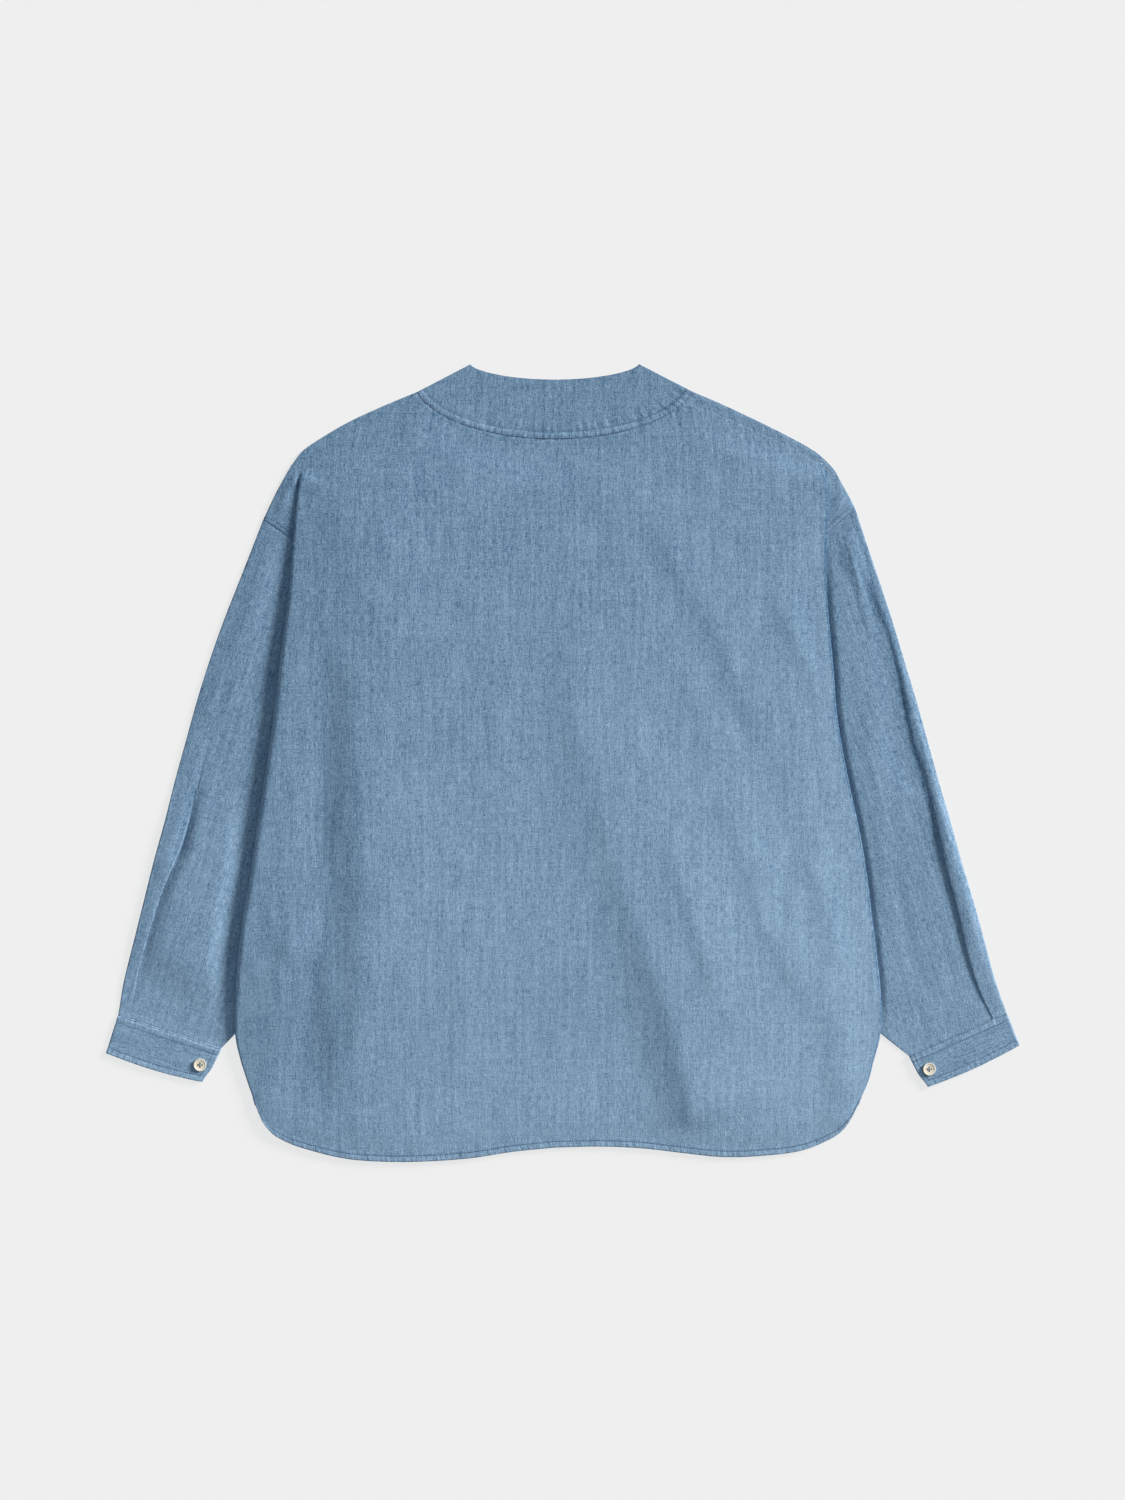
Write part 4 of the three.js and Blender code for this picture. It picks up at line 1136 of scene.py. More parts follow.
def lap_armhole(side, grid):
    """Carries the shoulder over the sleeve at the armhole, and raises the sewn strip."""
    top, cross = ARMHOLE[side][ARM_TOP]["y"], ARMHOLE[side][ARM_CROSS]["y"]
    part = grid[:, :LOWER_KEYS]
    shown = ease_all((part[:, :1, 1] - (cross - 24)) / 8) * (part[:, :1, 1] < top + 1.6)
    reach = edge_distance(part, column=0)
    fold = ease_all((part[..., 1] - (cross - 14)) / 10) * ease_all((reach[:, -1:] - reach) / 4)
    raised = np.maximum(crease_height(part[..., :2], SHOULDER_CREASES[side]), 0)
    part[..., 2] += raised * fold * ease_all(reach / 5)
    stretch = ARM_LAP * np.clip(1 - reach / 9, 0, 1) * shown
    part[..., :2] += stretch[..., None] * [SIDES[side] * ARM_WAY[0], ARM_WAY[1]]
    from_edge = reach + ARM_LAP - stretch
    strip = ease_all((8.2 - from_edge) / 1.6) * (0.75 + 0.25 * ease_all(from_edge / 1.2))
    first, second = ARM_ROWS
    groove = 0.4 * ridge_line(from_edge, second, 0.9) + 0.25 * ridge_line(from_edge, first, 0.7)
    ripple = crumple(np.stack([part[..., 1] * 1.3, from_edge * 0.3], axis=-1), 3.2, 4.9)
    part[..., 2] += shown * (ARM_RISE * strip - groove + 0.4 * ripple * strip)


class SHIRT_OT_back(bpy.types.Operator):
    """Lay the back panel, folded over the sleeves at both sides, and sew its hem."""

    bl_idname = "shirt.back"
    bl_label = "Back panel"

    def execute(self, context):
        made, sewing, _ = settings()
        grid, from_neck, from_hem = back_grid()
        hem = made.hem_depth / MM
        thick = mix(made.wall / MM, made.hem_wall / MM, ease_all((hem + 0.8 - from_hem) / 1.4))
        thick -= 0.45 * ridge_line(from_hem, hem, 1.1) + TUCK_THIN * tucked(from_neck, NECK_TUCK)
        from_cut = np.minimum(edge_distance(grid, column=0), edge_distance(grid, column=-1))
        thick -= 0.55 * ease_all((2.6 - from_cut) / 2.2)
        # Painted shade: a dark line painted along the right fold's edge and over its lit roll, from just below the
        # shoulder down
        turned = np.zeros(from_hem.shape)
        turned[:, -(FOLD_KEYS + 1) : -LOWER_KEYS] = FOLD_SHADE
        turned *= ease_all((FOLD_FORM["right"]["apex"] - 3 - grid[..., 1]) / 12)
        # The hem strip is painted a little darker; painted shade lies in the hem row's groove, beside the neck seam
        # and in the painted shade patches
        strip = 0.07 * ease_all((hem - from_hem) / 1.2)
        shade = turned + strip + crease_height(grid[..., :2], BACK_PAINTED_SHADE)
        shade += 0.26 * ridge_line(from_hem, hem + 0.4, 0.9) + 0.12 * ridge_line(from_neck, 1.9, 0.6)
        near = np.minimum(from_hem, from_neck + 2)
        along = np.broadcast_to(grid[..., 0] + 0.3 * grid[..., 1], near.shape)
        middle = grid.shape[1] // 2
        grain = lengths(grid)
        grain[..., 0] -= grain[:, middle : middle + 1, 0]
        grain[..., 1] = -grid[..., 1]
        back = cloth("back_panel", grid, thick, grain, np.stack([near, along, shade], axis=-1))
        dress(back, denim("body denim", BODY_LIGHT_SLANT), "denim", "back")
        normals = grid_normals(grid)
        flip = -1 if normals[40, middle, 2] < 0 else 1
        line, upward = inset_line(grid, normals * flip, hem, -1)
        half = made.wall / MM / 2
        hem_rows = stitch_rows("hem_stitches_back", [(line + upward * half, upward)], sewing, 0.05)
        dress(hem_rows, navy_thread(), "thread")
        arm_rows = []
        for side in SIDES:
            arm_rows += armhole_lines(side, grid, normals * flip, half)
        arms = stitch_rows("armhole_stitches_back", arm_rows, sewing, 0.05)
        dress(arms, navy_thread(), "thread")
        return {"FINISHED"}


def armhole_lines(side, grid, normals, half):
    """Both stitch rows on the shoulder's lapped edge, where they show."""
    part, leans = (side_first(side, values)[:, :LOWER_KEYS] for values in (grid, normals))
    top, cross = ARMHOLE[side][ARM_TOP]["y"], ARMHOLE[side][ARM_CROSS]["y"]
    rows = np.flatnonzero((part[:, 0, 1] > cross - 20) & (part[:, 0, 1] < top + 1.0))
    reach = edge_distance(part, column=0)
    lines = []
    for distance in ARM_ROWS:
        line = [[np.interp(distance, reach[row], part[row, :, k]) for k in range(3)] for row in rows]
        lean = [[np.interp(distance, reach[row], leans[row, :, k]) for k in range(3)] for row in rows]
        lines.append((np.array(line) + np.array(lean) * half, np.array(lean)))
    return lines


def front_grid():
    """Points of the front panel's middle surface, laid flat."""
    shares = spread_shares(FRONT_COLUMNS)
    rows = []
    for end in row_ends(*FRONT_ROWS):
        middle = centre_height(end["left"][1], end["right"][1], NECK["front"], NECK_REACH["front"])
        halves = []
        for side in SIDES:
            x_end, y_end = end[side]
            level = ease((NECK["top"] - y_end) / (NECK["top"] - ARMHOLE[side][ARM_TOP]["y"]))
            half = []
            for share in shares:
                curve = mix(math.sqrt(max(1 - share * share, 0)), ease(1 - share), level)
                plain = y_end + (middle - y_end) * curve * (1 - end["hem"])
                hem = READ_HEM[side](share) + FRONT_HEM_RISE - CORNER_Y
                drop = hem * ease((1 - share) / 0.02) if share > 0.98 else hem
                half.append((placed(side, x_end * share), plain + end["hem"] * drop, LOW))
            halves.append(half)
        rows.append(halves[0] + halves[1][::-1][1:])
    return np.array(rows)


class SHIRT_OT_front(bpy.types.Operator):
    """Lay the plain front panel flat under the back, with its hem."""

    bl_idname = "shirt.front"
    bl_label = "Front panel"

    def execute(self, context):
        made, sewing, _ = settings()
        grid = front_grid()
        from_neck = edge_distance(grid, row=0)
        from_hem = edge_distance(grid, row=-1)
        from_side = np.minimum(edge_distance(grid, column=0), edge_distance(grid, column=-1))
        calm = ease_all(np.minimum(np.minimum(from_neck, from_hem), from_side) / 60)
        grid[..., 2] = LOW + np.clip(crease_height(grid[..., :2], FRONT_CREASES), 0, 1) * calm
        near = np.minimum(np.minimum(from_hem, from_neck + 2), from_side + 1)
        middle = grid.shape[1] // 2
        grain = lengths(grid)
        grain[..., 0] -= grain[:, middle : middle + 1, 0]
        grain[..., 1] = -grid[..., 1] + 4000
        sewn = np.stack([near, grid[..., 0] + 0.3 * grid[..., 1]], axis=-1)
        front = cloth("front_panel", grid, made.wall / MM, grain, sewn)
        dress(front, denim("body denim", BODY_LIGHT_SLANT), "denim", "front")
        down = np.zeros_like(grid)
        down[..., 2] = -1
        line, lean = inset_line(grid, down, made.hem_depth / MM, -1)
        sunk = made.wall / MM / 2 - UNDER_SUNK
        stitches = stitch_rows("hem_stitches_front", [(line + lean * sunk, lean)], sewing, 0.0)
        dress(stitches, navy_thread(), "thread")
        return {"FINISHED"}


def band_grid(seam_row, edge_depth, z, lap, count, steps):
    """A neckband's points between the neck edge and the seam of its panel, which it passes by the lap."""
    steps_along = np.linalg.norm(np.diff(seam_row, axis=0), axis=1)
    along = np.concatenate([[0], np.cumsum(steps_along)])
    places = np.linspace(0, along[-1], count + 1)
    seam = np.stack([np.interp(places, along, seam_row[:, k]) for k in range(2)], axis=1)
    out = (seam[:, 0] - CENTRE) / NECK["half"]
    dip = edge_depth * np.maximum(1 - out * out, 0) ** NECK_POWER
    edge = np.stack([CENTRE + NECK_EDGE["half"] * out, NECK_EDGE["top"] - dip], axis=1)
    inward = edge - seam
    inward /= np.linalg.norm(inward, axis=1, keepdims=True)
    sewn = seam - inward * lap
    shares = np.linspace(0, 1, steps + 1)[:, None, None]
    plan = edge[None] + (sewn - edge)[None] * shares
    return np.concatenate([plan, np.full(plan.shape[:2] + (1,), z)], axis=-1)


class SHIRT_OT_neckbands(bpy.types.Operator):
    """Sew the wide flat band round the neck, back and front, with two rows at the seam."""

    bl_idname = "shirt.neckbands"
    bl_label = "Neckbands"

    def execute(self, context):
        made, sewing, _ = settings()
        backs = back_grid()[0][0]
        fronts = front_grid()[0]
        plans = (
            ("back", backs, NECK_EDGE["back"], TOP, 1),
            ("front", fronts, NECK_EDGE["front"], LOW, -1),
        )
        for name, seam, depth, z, way in plans:
            grid = band_grid(seam, depth, z, BAND_LAP if way > 0 else -BAND_GAP, 300 if way > 0 else 200, 46)
            from_seam = edge_distance(grid, row=-1)
            from_edge = edge_distance(grid, row=0)
            first, second = sewing.seam_row / MM, sewing.second_row / MM
            if way > 0:
                ends = ease_all(np.minimum(along_grid(grid), along_grid(grid)[:, ::-1]) / 4)
                strip = ease_all((second + 1.2 - from_seam) / 1.8) * (0.6 + 0.4 * ease_all(from_seam / 1.2))
                ripple = crumple(np.stack([along_grid(grid), from_seam * 0.22], axis=-1), 3.0, 5.5)
                waves = crumple(np.stack([along_grid(grid), from_seam * 0.12], axis=-1), 6.5, 8.5)
                grid[..., 2] += BAND_RISE * strip + 0.42 * ripple * strip * ends
                grid[..., 2] -= 0.5 * ridge_line(from_seam, second, 1.0) + 0.25 * ridge_line(from_seam, first, 0.7)
                grid[..., 2] += 0.6 * ridge_line(from_seam, second + 2, 7) * waves * (1 - strip) * ends
                grid[..., 2] += 0.2 * crumple(grid[..., :2], 24.0, 1.7) * ease_all(from_edge / 12)
            shade = 0.26 * ridge_line(from_seam, second, 0.7) + 0.12 * ridge_line(from_seam, first, 0.5)
            shade += 0.35 * ease_all((1.3 - from_edge) / 0.8)
            sewn = np.stack([from_seam, along_grid(grid), shade], axis=-1)
            grain = np.stack([grid[..., 0] + 1300, -grid[..., 1]], axis=-1)
            thick = made.wall / MM - (0.6 * ease_all((2.6 - from_seam) / 2) if way > 0 else 0)
            band = cloth(f"neckband_{name}_cloth", grid, thick, grain, sewn)
            dress(band, denim("band denim"), "denim", f"neckband_{name}")
            normals = np.zeros_like(grid)
            normals[..., 2] = way
            rows = []
            for distance, half in ((first, 0.36), (second, 0.46)):
                line, lean = inset_line(grid, normals, distance, -1)
                rows.append((line + lean * (half if way > 0 else 0.12), lean))
            stitches = stitch_rows(f"neck_stitches_{name}", rows, sewing, 0.05 if way > 0 else 0.0)
            dress(stitches, navy_thread(), "thread")
        return {"FINISHED"}


def along_grid(grid):
    steps = np.linalg.norm(np.diff(grid[-1], axis=0), axis=-1)
    along = np.concatenate([[0], np.cumsum(steps)])
    return np.broadcast_to(along, grid.shape[:2])


def walk(path, shares):
    """Points at shares of a path's length."""
    path = np.array(path, float)
    steps = np.linalg.norm(np.diff(path, axis=0), axis=1)
    along = np.concatenate([[0], np.cumsum(steps)]) / steps.sum()
    return np.stack([np.interp(shares, along, path[:, k]) for k in range(2)], axis=-1)


def sleeve_head(side):
    rows = [(p["x"], p["y"]) for p in ARMHOLE[side]]
    ys = np.concatenate([np.linspace(a[1], b[1], 9)[:-1] for a, b in zip(rows, rows[1:])] + [[rows[-1][1]]])
    points = np.array([(READ_ARMHOLE[side](y), y) for y in ys])
    ways = np.gradient(points, axis=0)
    ways /= np.linalg.norm(ways, axis=1, keepdims=True)
    return points + np.stack([-ways[:, 1], ways[:, 0]], axis=1) * HEAD_GAP


def sleeve_section(side, t, width):
    """Points across a sleeve at a share of its length: distance from the outer edge, height, armhole share."""
    angle = math.pi * ease((t - PLEAT_START) / (PLEAT_FLAT - PLEAT_START))
    deep = mix(0.5, PLEAT_DEEP, clamp((t - PLEAT_FLAT) / (1 - PLEAT_FLAT)))
    form = {"angle": angle, "upper": math.pi * CREASE, "lower": math.pi * CREASE, "length": deep}
    whole = form["upper"] + deep + form["lower"]
    run_whole, rise = fold_at(whole, form)
    turn = (LAYER + PLEAT_PRESS[side] * rise) / 2
    start = READ_PLEAT[side](t) - fold_reach(form) - LOW
    press = PLEAT_PRESS[side]
    strip = np.linspace(turn + LOW, start, 7)
    section = [(away, TOP + press * rise, 0.02 + 0.08 * k / 6) for k, away in enumerate(strip)]
    for k in range(1, 8):
        run, drop = fold_at(form["upper"] * k / 7, form)
        section.append((start + run, TOP + press * (rise - drop), 0.1 + 0.02 * k / 7))
    for k in range(8):
        run, drop = fold_at(form["upper"] + form["length"] + form["lower"] * k / 7, form)
        section.append((start + run, TOP + press * (rise - drop), 0.13 + 0.02 * k / 7))
    clear = start + run_whole
    room = width - LAYER / 2 - LOW
    for k in range(1, 49):
        section.append((mix(clear, room, k / 48), TOP, mix(0.15, 0.99, k / 48)))
    for k in range(1, 6):
        arc = math.pi * k / 6
        section.append((room + CREASE * math.sin(arc), LOW + CREASE * (1 + math.cos(arc)), 0.99))
    for k in range(25):
        section.append((mix(room, turn + LOW, k / 24), LOW, mix(0.99, 0.02, k / 24)))
    for k in range(1, 9):
        arc = math.pi * k / 9
        across, up = math.sin(arc), math.cos(arc)
        section.append((LOW + turn - turn * across, LOW + turn - turn * up, 0.02 * (1 - across)))
    return section


# Columns of a sleeve: the strip outside the pleat, the pleat's turns, the outer edge, and the whole upper layer
STRIP_COLUMNS = 7 + 7 + 4
PLEAT_COLUMNS = 7 + 7 + 8
EDGE_COLUMNS = 8
UPPER_COLUMNS = PLEAT_COLUMNS + 48
OUTER_STEPS = 90


def sleeve_grid(side, stations):
    """A sleeve's middle surface: rings of points from its head to the cuff, with their places across it."""
    head = sleeve_head(side)
    cuff_outer, cuff_inner = ((x, y + CUFF_GAP) for x, y in CUFF[side]["top"])
    outer = [head[0]] + [(row[side], row["y"]) for row in SLEEVE_OUTER] + [cuff_outer]
    outer = curve_through(np.array(outer, float), OUTER_STEPS)
    inner = [head[-1]] + [(p["x"], p["y"]) for p in SLEEVE_INNER[side]] + [cuff_inner]
    shares = np.concatenate([np.linspace(0, 0.02, 9)[:-1], np.linspace(0.02, 1, stations - 8)])
    froms, tos = walk(outer, shares), walk(inner, shares)
    rows, first = [], None
    wide = np.linalg.norm(tos - froms, axis=1)[:, None]
    for t, start, end in zip(shares, froms, tos):
        width = np.linalg.norm(end - start)
        section = np.array(sleeve_section(side, t, width))
        line = (section[:, 0] / width)[:, None]
        plan = start + (end - start) * line
        if first is None:
            first = walk(head, section[:, 2]) - plan
        plan = plan + max(1 - t / 0.35, 0) ** 2 * first
        rows.append(np.column_stack([placed(side, plan[:, 0]), plan[:, 1], section[:, 1], line[:, 0]]))
    rows = np.array(rows)
    grid, across = rows[..., :3].copy(), rows[..., 3]
    upper = np.zeros(across.shape, bool)
    upper[:, :UPPER_COLUMNS] = True
    edge = np.array([[body_edge(side, y) for y in row] for row in grid[..., 1]])
    out = (grid[..., 0] - CENTRE) * SIDES[side]
    begin, reach = BODY_CLEAR[side]
    clear = ease_all((out - edge - begin) / reach)
    ends = ease_all(shares / 0.1)[:, None] * ease_all((1 - shares) / 0.2)[:, None]
    flat = grid[..., :2]
    pleat = np.array([READ_PLEAT[side](t) for t in shares])[:, None]
    made = ease_all((shares - 0.4) / 0.22)[:, None]
    beyond = np.arange(grid.shape[1])[None] >= STRIP_COLUMNS
    fall = np.clip(1 - (wide * across - pleat) / PLEAT_SLOPE, 0, 1)
    slope = PLEAT_RISE[side] * (1 - fall**2) * made * beyond
    slope *= (1 - ease_all(np.clip(across - 0.45, 0, 1) / 0.5)) * ease_all((1 - shares) / 0.16)[:, None]
    strip = PLEAT_STRIP[side] * made * np.sin(math.pi * np.clip(wide * across / pleat, 0, 1)) * (1 - beyond)
    level = ease_all((1 - across) / 0.12)
    air = SLEEVE_AIR[side] * (1 - 0.5 * shares)[:, None] * ease_all(np.clip(across, 0, 1) / AIR_REACH[side])
    high = (air + crease_height(flat, SLEEVE_CREASES[side])) * level
    worn = 0.22 * crumple(flat, 22.0, 6.2 if side == "left" else 8.8)
    raised = np.maximum(high + worn + slope + strip, 0) * clear * ends
    grid[..., 2] += np.where(upper, raised, 0)
    grid[:, -EDGE_COLUMNS:, 2] += raised[:, :1] * np.linspace(0, 1, EDGE_COLUMNS + 2)[1:-1]
    grid[..., 2] = LOW + (grid[..., 2] - LOW) * (1 - SQUEEZE * squeezed(shares))
    grid[..., 2] -= TUCK_DROP * tucked(edge_distance(grid, row=0), ARM_TUCK) * upper
    return grid, across, shares


def squeezed(shares):
    """How far a sleeve's layers are pressed together as they run into the cuff."""
    return ease_all((shares - SQUEEZE_START) / (0.99 - SQUEEZE_START))[:, None]


def body_edge(side, y):
    return shoulder_edge(side, y) if y > FOLD[0]["y"] else READ_FOLD[side](y)


class SHIRT_OT_sleeves(bpy.types.Operator):
    """Lay both sleeves as flat tubes under the body's edges, with a pleat into each cuff."""

    bl_idname = "shirt.sleeves"
    bl_label = "Sleeves"

    def execute(self, context):
        made, _, _ = settings()
        for side in SIDES:
            grid, across, shares = sleeve_grid(side, 190)
            turn = SIDES[side] * math.radians(SLEEVE_LEAN)
            plan = grid[..., :2] + [3000 if side == "left" else 5000, 0]
            over = plan @ [math.cos(turn), math.sin(turn)]
            down = plan @ [math.sin(turn), -math.cos(turn)]
            grain = np.stack([over, down], axis=-1)
            from_head = edge_distance(grid, row=0)
            from_cuff = edge_distance(grid, row=-1)
            near = np.minimum(from_head + 1, from_cuff + 2)
            columns = np.arange(grid.shape[1])
            shade = crease_height(grid[..., :2], SLEEVE_PAINTED_SHADE[side]) * (columns < UPPER_COLUMNS)
            sewn = np.stack([near, across * 120 + 40, shade], axis=-1)
            pleated = (columns < PLEAT_COLUMNS) * (1 - PLEAT_PRESS[side])
            pressed = ease_all((shares - 0.945) / 0.045)[:, None]
            thin = np.maximum(tucked(from_head, ARM_TUCK) * TUCK_THIN, pressed * SQUEEZE_THIN)
            thick = made.wall / MM - np.maximum(thin, pleated * ease_all((shares - 0.45) / 0.2)[:, None])
            shown = cloth(f"sleeve_{side}_cloth", grid, thick, grain, sewn, ring=True)
            dress(shown, denim("sleeve denim", deep=0.05), "denim", f"sleeve_{side}")
        return {"FINISHED"}


def cuff_grid(side, count=84, steps=36):
    """A cuff's strip, from its upper end round the outer edge to its lower end."""
    (top_outer, top_inner), (end_outer, end_inner) = (np.array(CUFF[side][k], float) for k in ("top", "end"))
    low = CUFF_WALL / 2
    high = low + CUFF_WALL + CUFF_APART
    turn = (high - low) / 2
    length = np.linalg.norm(top_inner - top_outer)
    away = top_outer + top_inner - end_outer - end_inner
    away /= np.linalg.norm(away)
    room = (turn + low) / length
    shares = mix(1.0, room, np.linspace(0, 1, count + 1))
    stations = [(share, high) for share in shares]
    for k in range(1, 8):
        arc = math.pi * k / 8
        stations.append((room - turn * math.sin(arc) / length, low + turn + turn * math.cos(arc)))
    stations += [(share, low) for share in shares[::-1]]
    rows = []
    for down in np.linspace(0, 1, steps + 1):
        row = []
        for index, (share, z) in enumerate(stations):
            top = top_outer + (top_inner - top_outer) * share
            end = end_outer + (end_inner - end_outer) * share
            bow = CUFF_BOW * math.sin(math.pi * clamp(share)) * down
            corner = CUFF_CORNER * ease((share - 0.9) / 0.1) * ease((down - 0.5) / 0.5) * 0.4
            x, y = mix(top[0], end[0], down) + corner, mix(top[1], end[1], down) - bow + corner * 0.4
            lap = CUFF_LAP * (1 - ease(down / 0.35)) * (index <= count)
            row.append((placed(side, x + lap * away[0]), y + lap * away[1], z))
        rows.append(row)
    return np.array(rows), count + 1


class SHIRT_OT_cuffs(bpy.types.Operator):
    """Lay each cuff's strip round the wrist and sew its rows."""

    bl_idname = "shirt.cuffs"
    bl_label = "Cuffs"

    def execute(self, context):
        _, sewing, _ = settings()
        first, second, third = CUFF_ROWS["top"] + (CUFF_ROWS["end"],)
        for side in SIDES:
            grid, upper = cuff_grid(side)
            from_top = edge_distance(grid, row=0)
            from_end = edge_distance(grid, row=-1)
            from_tip = np.minimum(edge_distance(grid, column=0), edge_distance(grid, column=-1))
            mask = np.zeros(from_top.shape)
            mask[:, :upper] = 1
            near_top = ease_all((3.2 - from_top) / 2.4) * mask
            near_end = ease_all((5 - from_end) / 3)
            wall = CUFF_WALL - 0.4 * ridge_line(from_top, second, 1.0) - 0.9 * near_top
            wall += 0.2 * near_end - 0.4 * ridge_line(from_end, third, 0.9)
            grid[..., 2] += 0.1 * near_end - 0.45 * near_top
            ripple = crumple(np.stack([from_tip, from_top * 0.3], axis=-1), 4.0, 2.2 if side == "left" else 4.4)
            edge = ridge_line(from_top, 4, 3.5) + ridge_line(from_end, 3, 3)
            grid[..., 2] += mask * (0.22 * ripple * edge + 0.08 * ripple)
            grain = np.stack([from_top + (7000 if side == "left" else 8000), from_tip], axis=-1)
            near = np.minimum(np.minimum(from_top, from_end), from_tip)
            shade = ridge_line(from_top, second, 0.8) + ridge_line(from_end, third, 0.8)
            shade = 0.05 * (shade + ridge_line(from_top, 0, 0.9))
            sewn = np.stack([near, along_grid(grid), shade], axis=-1)
            shown = cloth(f"cuff_{side}_cloth", grid, wall, grain, sewn)
            dress(shown, denim("cuff denim", deep=0.08), "denim", f"cuff_{side}")
            normals = grid_normals(grid)
            flip = 1 if normals[5, 5, 2] > 0 else -1
            rows = []
            for distance, row, half in ((first, 0, 0.42), (second, 0, 0.62), (third, -1, 0.65)):
                line, lean = inset_line(grid[:, :upper], normals[:, :upper] * flip, distance, row)
                start = 4 if row == -1 else 1
                rows.append((line[start:] + lean[start:] * half, lean[start:]))
            tip = np.swapaxes(grid[:, :upper], 0, 1)
            tip_normals = np.swapaxes(normals[:, :upper], 0, 1) * flip
            line, lean = inset_line(tip, tip_normals, CUFF_ROWS["tip"], 0)
            rows.append((line[1:-4] + lean[1:-4] * CUFF_WALL / 2, lean[1:-4]))
            stitches = stitch_rows(f"cuff_stitches_{side}", rows, sewing, 0.05)
            dress(stitches, navy_thread(), "thread")
        return {"FINISHED"}


# Buttons


def select_none():
    bpy.ops.object.select_all(action="DESELECT")


def select_only(shown):
    select_none()
    shown.select_set(True)
    bpy.context.view_layer.objects.active = shown


def joined(parts):
    """Joins objects into the first of them."""
    select_only(parts[0])
    for part in parts[1:]:
        part.select_set(True)
    bpy.ops.object.join()
    return bpy.context.active_object


def settle(shown):
    """Puts an object's place into its mesh."""
    select_only(shown)
    bpy.ops.object.transform_apply(location=True, rotation=True, scale=True)


def apply_modifiers(shown):
    select_only(shown)
    for modifier in list(shown.modifiers):
        bpy.ops.object.modifier_apply(modifier=modifier.name)


BUTTON_RADIUS, BUTTON_HIGH = 6.0, 2.0
RIM_WIDE, RIM_ROUND = 1.0, 0.38
# The dish inside the rim: its sloping side, then a face that sinks a little to the middle
DISH_WIDE, DISH_DEEP, FACE_WIDE, FACE_DEEP = 0.55, 0.5, 2.2, 0.1
HOLE_RING, HOLE_RADIUS = 1.9, 0.8
STRAND_RADIUS, STRAND_APART, STRAND_DROP, STRAND_OVER = 0.16, 0.26, 0.4, 0.3
# The buttonhole: how far past the button's middle it lies, half its length, and its bars
HOLE_AHEAD, SLIT_HALF, BARS, BAR_OUT, BAR_HALF = 3.5, 8.5, 17, 0.75, 0.55


def button_place(side):
    low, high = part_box(f"button_{side}")
    return (low[0] + high[0]) / 2, (low[1] + high[1]) / 2, low[2]


def turned_button(side):
    """A button turned from a disc: a rounded rim, a dished face and four drilled holes."""
    x, y, z = button_place(side)
    select_none()
    bpy.ops.mesh.primitive_cylinder_add(
        vertices=64, radius=BUTTON_RADIUS * MM, depth=BUTTON_HIGH * MM, location=(x, y, z + BUTTON_HIGH * MM / 2)
    )
    shown = bpy.context.active_object
    shown.name = f"shirt_button_{side}"
    bpy.ops.object.mode_set(mode="EDIT")
    bpy.ops.mesh.select_mode(type="FACE")
    bpy.ops.mesh.select_all(action="DESELECT")
    bpy.ops.object.mode_set(mode="OBJECT")
    for face in shown.data.polygons:
        face.select = face.normal.z > 0.9
    bpy.ops.object.mode_set(mode="EDIT")
    bpy.ops.mesh.inset(thickness=RIM_WIDE * MM, depth=0)
    bpy.ops.mesh.inset(thickness=DISH_WIDE * MM, depth=-DISH_DEEP * MM)
    bpy.ops.mesh.inset(thickness=FACE_WIDE * MM, depth=-FACE_DEEP * MM)
    bpy.ops.object.mode_set(mode="OBJECT")
    bevel = shown.modifiers.new("rounded rim", "BEVEL")
    bevel.width = RIM_ROUND * MM
    bevel.segments = 3
    bevel.limit_method = "ANGLE"
    bevel.angle_limit = math.radians(25)
    apply_modifiers(shown)
    drills = []
    for k in range(4):
        angle = math.pi / 2 * k
        select_none()
        bpy.ops.mesh.primitive_cylinder_add(
            vertices=20,
            radius=HOLE_RADIUS * MM,
            depth=4 * BUTTON_HIGH * MM,
            location=(x + HOLE_RING * MM * math.cos(angle), y + HOLE_RING * MM * math.sin(angle), z),
        )
        drills.append(bpy.context.active_object)
    cutter = joined(drills)
    cut = shown.modifiers.new("four holes", "BOOLEAN")
    cut.object = cutter
    cut.solver = "EXACT"
    apply_modifiers(shown)
    bpy.data.objects.remove(cutter, do_unlink=True)
    settle(shown)
    select_only(shown)
    bpy.ops.object.shade_smooth_by_angle(angle=math.radians(35))
    return shown


def thread_cross(side):
    """The crossed threads in a button's face."""
    x, y, z = button_place(side)
    parts = []
    for turn in (0, math.pi / 2):
        for shift in (-STRAND_APART, STRAND_APART):
            select_none()
            bpy.ops.mesh.primitive_cylinder_add(
                vertices=10, radius=STRAND_RADIUS * MM, depth=2 * HOLE_RING * MM, rotation=(math.pi / 2, 0, turn)
            )
            shown = bpy.context.active_object
            bpy.ops.object.mode_set(mode="EDIT")
            bpy.ops.mesh.select_all(action="SELECT")
            bpy.ops.mesh.bevel(offset=0.1 * MM, segments=1, affect="EDGES")
            bpy.ops.object.mode_set(mode="OBJECT")
            lift = (BUTTON_HIGH - STRAND_DROP + (STRAND_OVER if turn else 0)) * MM
            aside = Vector((math.cos(turn), math.sin(turn), 0)) * shift * MM
            shown.location = (x + aside.x, y + aside.y, z + lift)
            settle(shown)
            parts.append(shown)
    shown = joined(parts)
    shown.name = f"button_thread_{side}"
    bpy.ops.object.shade_smooth_by_angle(angle=math.radians(50))
    return shown


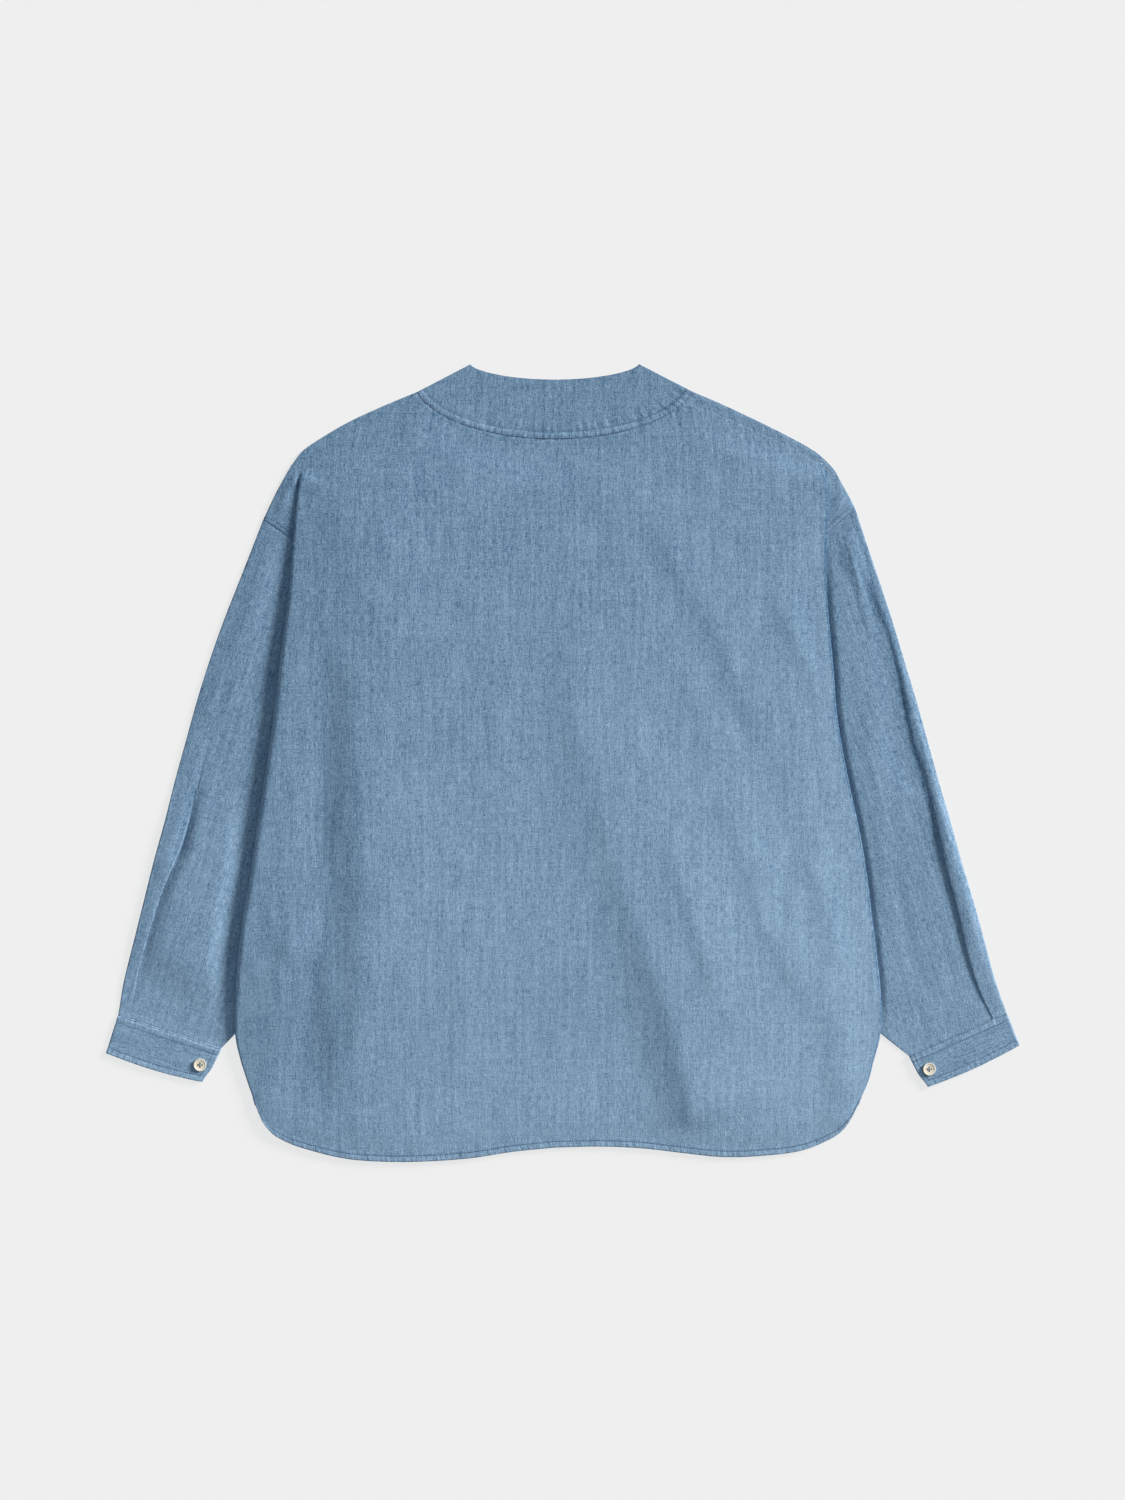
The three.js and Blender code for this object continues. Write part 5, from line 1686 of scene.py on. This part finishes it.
class SHIRT_OT_buttons(bpy.types.Operator):
    """Turn the two cuff buttons, drill them and sew them on."""

    bl_idname = "shirt.buttons"
    bl_label = "Buttons"

    def execute(self, context):
        _, _, colours = settings()
        shell = once("button shell", shell_material, colours)
        loop = once("button thread", thread_material, colours.loop, 0.6)
        bar = once("pale thread", thread_material, colours.bar, 0.7)
        for side in SIDES:
            dress(turned_button(side), shell, "button", f"button_{side}")
            dress(thread_cross(side), loop, "thread")
            dress(buttonhole(side), bar, "thread")
        return {"FINISHED"}


def buttonhole(side):
    """Close bar stitches round the slit under the button."""
    top_outer, top_inner = np.array(CUFF[side]["top"], float)
    way = (top_inner - top_outer) / np.linalg.norm(top_inner - top_outer)
    across = np.array([-way[1], way[0]])
    centre = np.array(BUTTON_AT[side]) - way * HOLE_AHEAD
    lines = []
    z = 2 * CUFF_WALL + CUFF_APART + 0.05
    for k in range(BARS):
        place = mix(-SLIT_HALF, SLIT_HALF, k / (BARS - 1))
        for edge in (-BAR_OUT, BAR_OUT):
            middle = centre + way * place + across * edge
            points = [middle - across * BAR_HALF, middle + across * BAR_HALF]
            line = np.array([(placed(side, p[0]), p[1], z) for p in points])
            lines.append((line, np.tile([0.0, 0.0, 1.0], (2, 1))))
    fine = SimpleNamespace(pitch=1.0 * MM, stitch=1.2 * MM, thread=0.55 * MM)
    return stitch_rows(f"buttonhole_{side}", lines, fine, 0.0)


class SHIRT_OT_stage(bpy.types.Operator):
    """Set the pale floor, the soft key light, the fill and the camera over the shirt."""

    bl_idname = "shirt.stage"
    bl_label = "Stage"

    def execute(self, context):
        studio = context.scene.shirt_studio
        select_none()
        bpy.ops.mesh.primitive_plane_add(size=FLOOR_SIZE, location=(0, 0, -FLOOR_DROP * MM))
        floor = context.active_object
        floor.name = "studio_floor"
        settle(floor)
        floor.data.materials.append(once("pale floor", floor_material, context.scene.shirt_colours))
        lamp = bpy.data.lights.new("key", "SUN")
        lamp.energy = studio.key
        lamp.angle = studio.key_angle
        lamp.color = studio.key_colour
        key = bpy.data.objects.new("key", lamp)
        context.scene.collection.objects.link(key)
        turn, level = studio.key_turn, math.cos(studio.key_height)
        way = Vector((math.cos(turn) * level, math.sin(turn) * level, math.sin(studio.key_height)))
        key.rotation_euler = way.to_track_quat("Z", "Y").to_euler()
        world = context.scene.world or bpy.data.worlds.new("studio")
        context.scene.world = world
        world.use_nodes = True
        background = world.node_tree.nodes["Background"]
        background.inputs["Color"].default_value = (*studio.fill_colour, 1)
        background.inputs["Strength"].default_value = studio.fill
        context.scene.view_settings.view_transform = "Standard"
        lens = bpy.data.cameras.new("camera")
        lens.lens = studio.lens
        lens.sensor_fit = "AUTO"
        lens.sensor_width = 36
        lens.clip_end = 50
        camera = bpy.data.objects.new("camera", lens)
        context.scene.collection.objects.link(camera)
        tall = PHOTO_SIZE[1] * PIXEL * MM
        x = (PHOTO_SIZE[0] / 2 - ZERO_PIXEL[0]) * PIXEL + SHIFT_X
        y = (ZERO_PIXEL[1] - PHOTO_SIZE[1] / 2) * PIXEL + SHIFT_Y
        camera.location = (x * MM, y * MM, tall * studio.lens / lens.sensor_width)
        context.scene.camera = camera
        return {"FINISHED"}


OPERATORS = (
    SHIRT_OT_stage,
    SHIRT_OT_front,
    SHIRT_OT_back,
    SHIRT_OT_neckbands,
    SHIRT_OT_sleeves,
    SHIRT_OT_cuffs,
    SHIRT_OT_buttons,
)
GROUPS = {
    "shirt_cloth": ShirtCloth,
    "shirt_sewing": ShirtSewing,
    "shirt_colours": ShirtColours,
    "shirt_studio": ShirtStudio,
}


class SHIRT_PT_panel(bpy.types.Panel):
    """Lists the steps of making the shirt."""

    bl_idname = "SHIRT_PT_panel"
    bl_label = "Shirt"
    bl_space_type = "VIEW_3D"
    bl_region_type = "UI"
    bl_category = "Shirt"

    def draw(self, context):
        for operator in OPERATORS:
            self.layout.operator(operator.bl_idname)


def register():
    for made in (*GROUPS.values(), *OPERATORS, SHIRT_PT_panel):
        bpy.utils.register_class(made)
    for name, made in GROUPS.items():
        setattr(bpy.types.Scene, name, bpy.props.PointerProperty(type=made))


def unregister():
    for name in GROUPS:
        delattr(bpy.types.Scene, name)
    for made in (SHIRT_PT_panel, *reversed(OPERATORS), *reversed(GROUPS.values())):
        bpy.utils.unregister_class(made)


def main():
    register()
    bpy.ops.shirt.stage()
    bpy.ops.shirt.front()
    bpy.ops.shirt.back()
    bpy.ops.shirt.neckbands()
    bpy.ops.shirt.sleeves()
    bpy.ops.shirt.cuffs()
    bpy.ops.shirt.buttons()
    bpy.context.view_layer.update()
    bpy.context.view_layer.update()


if __name__ == "__main__":
    main()
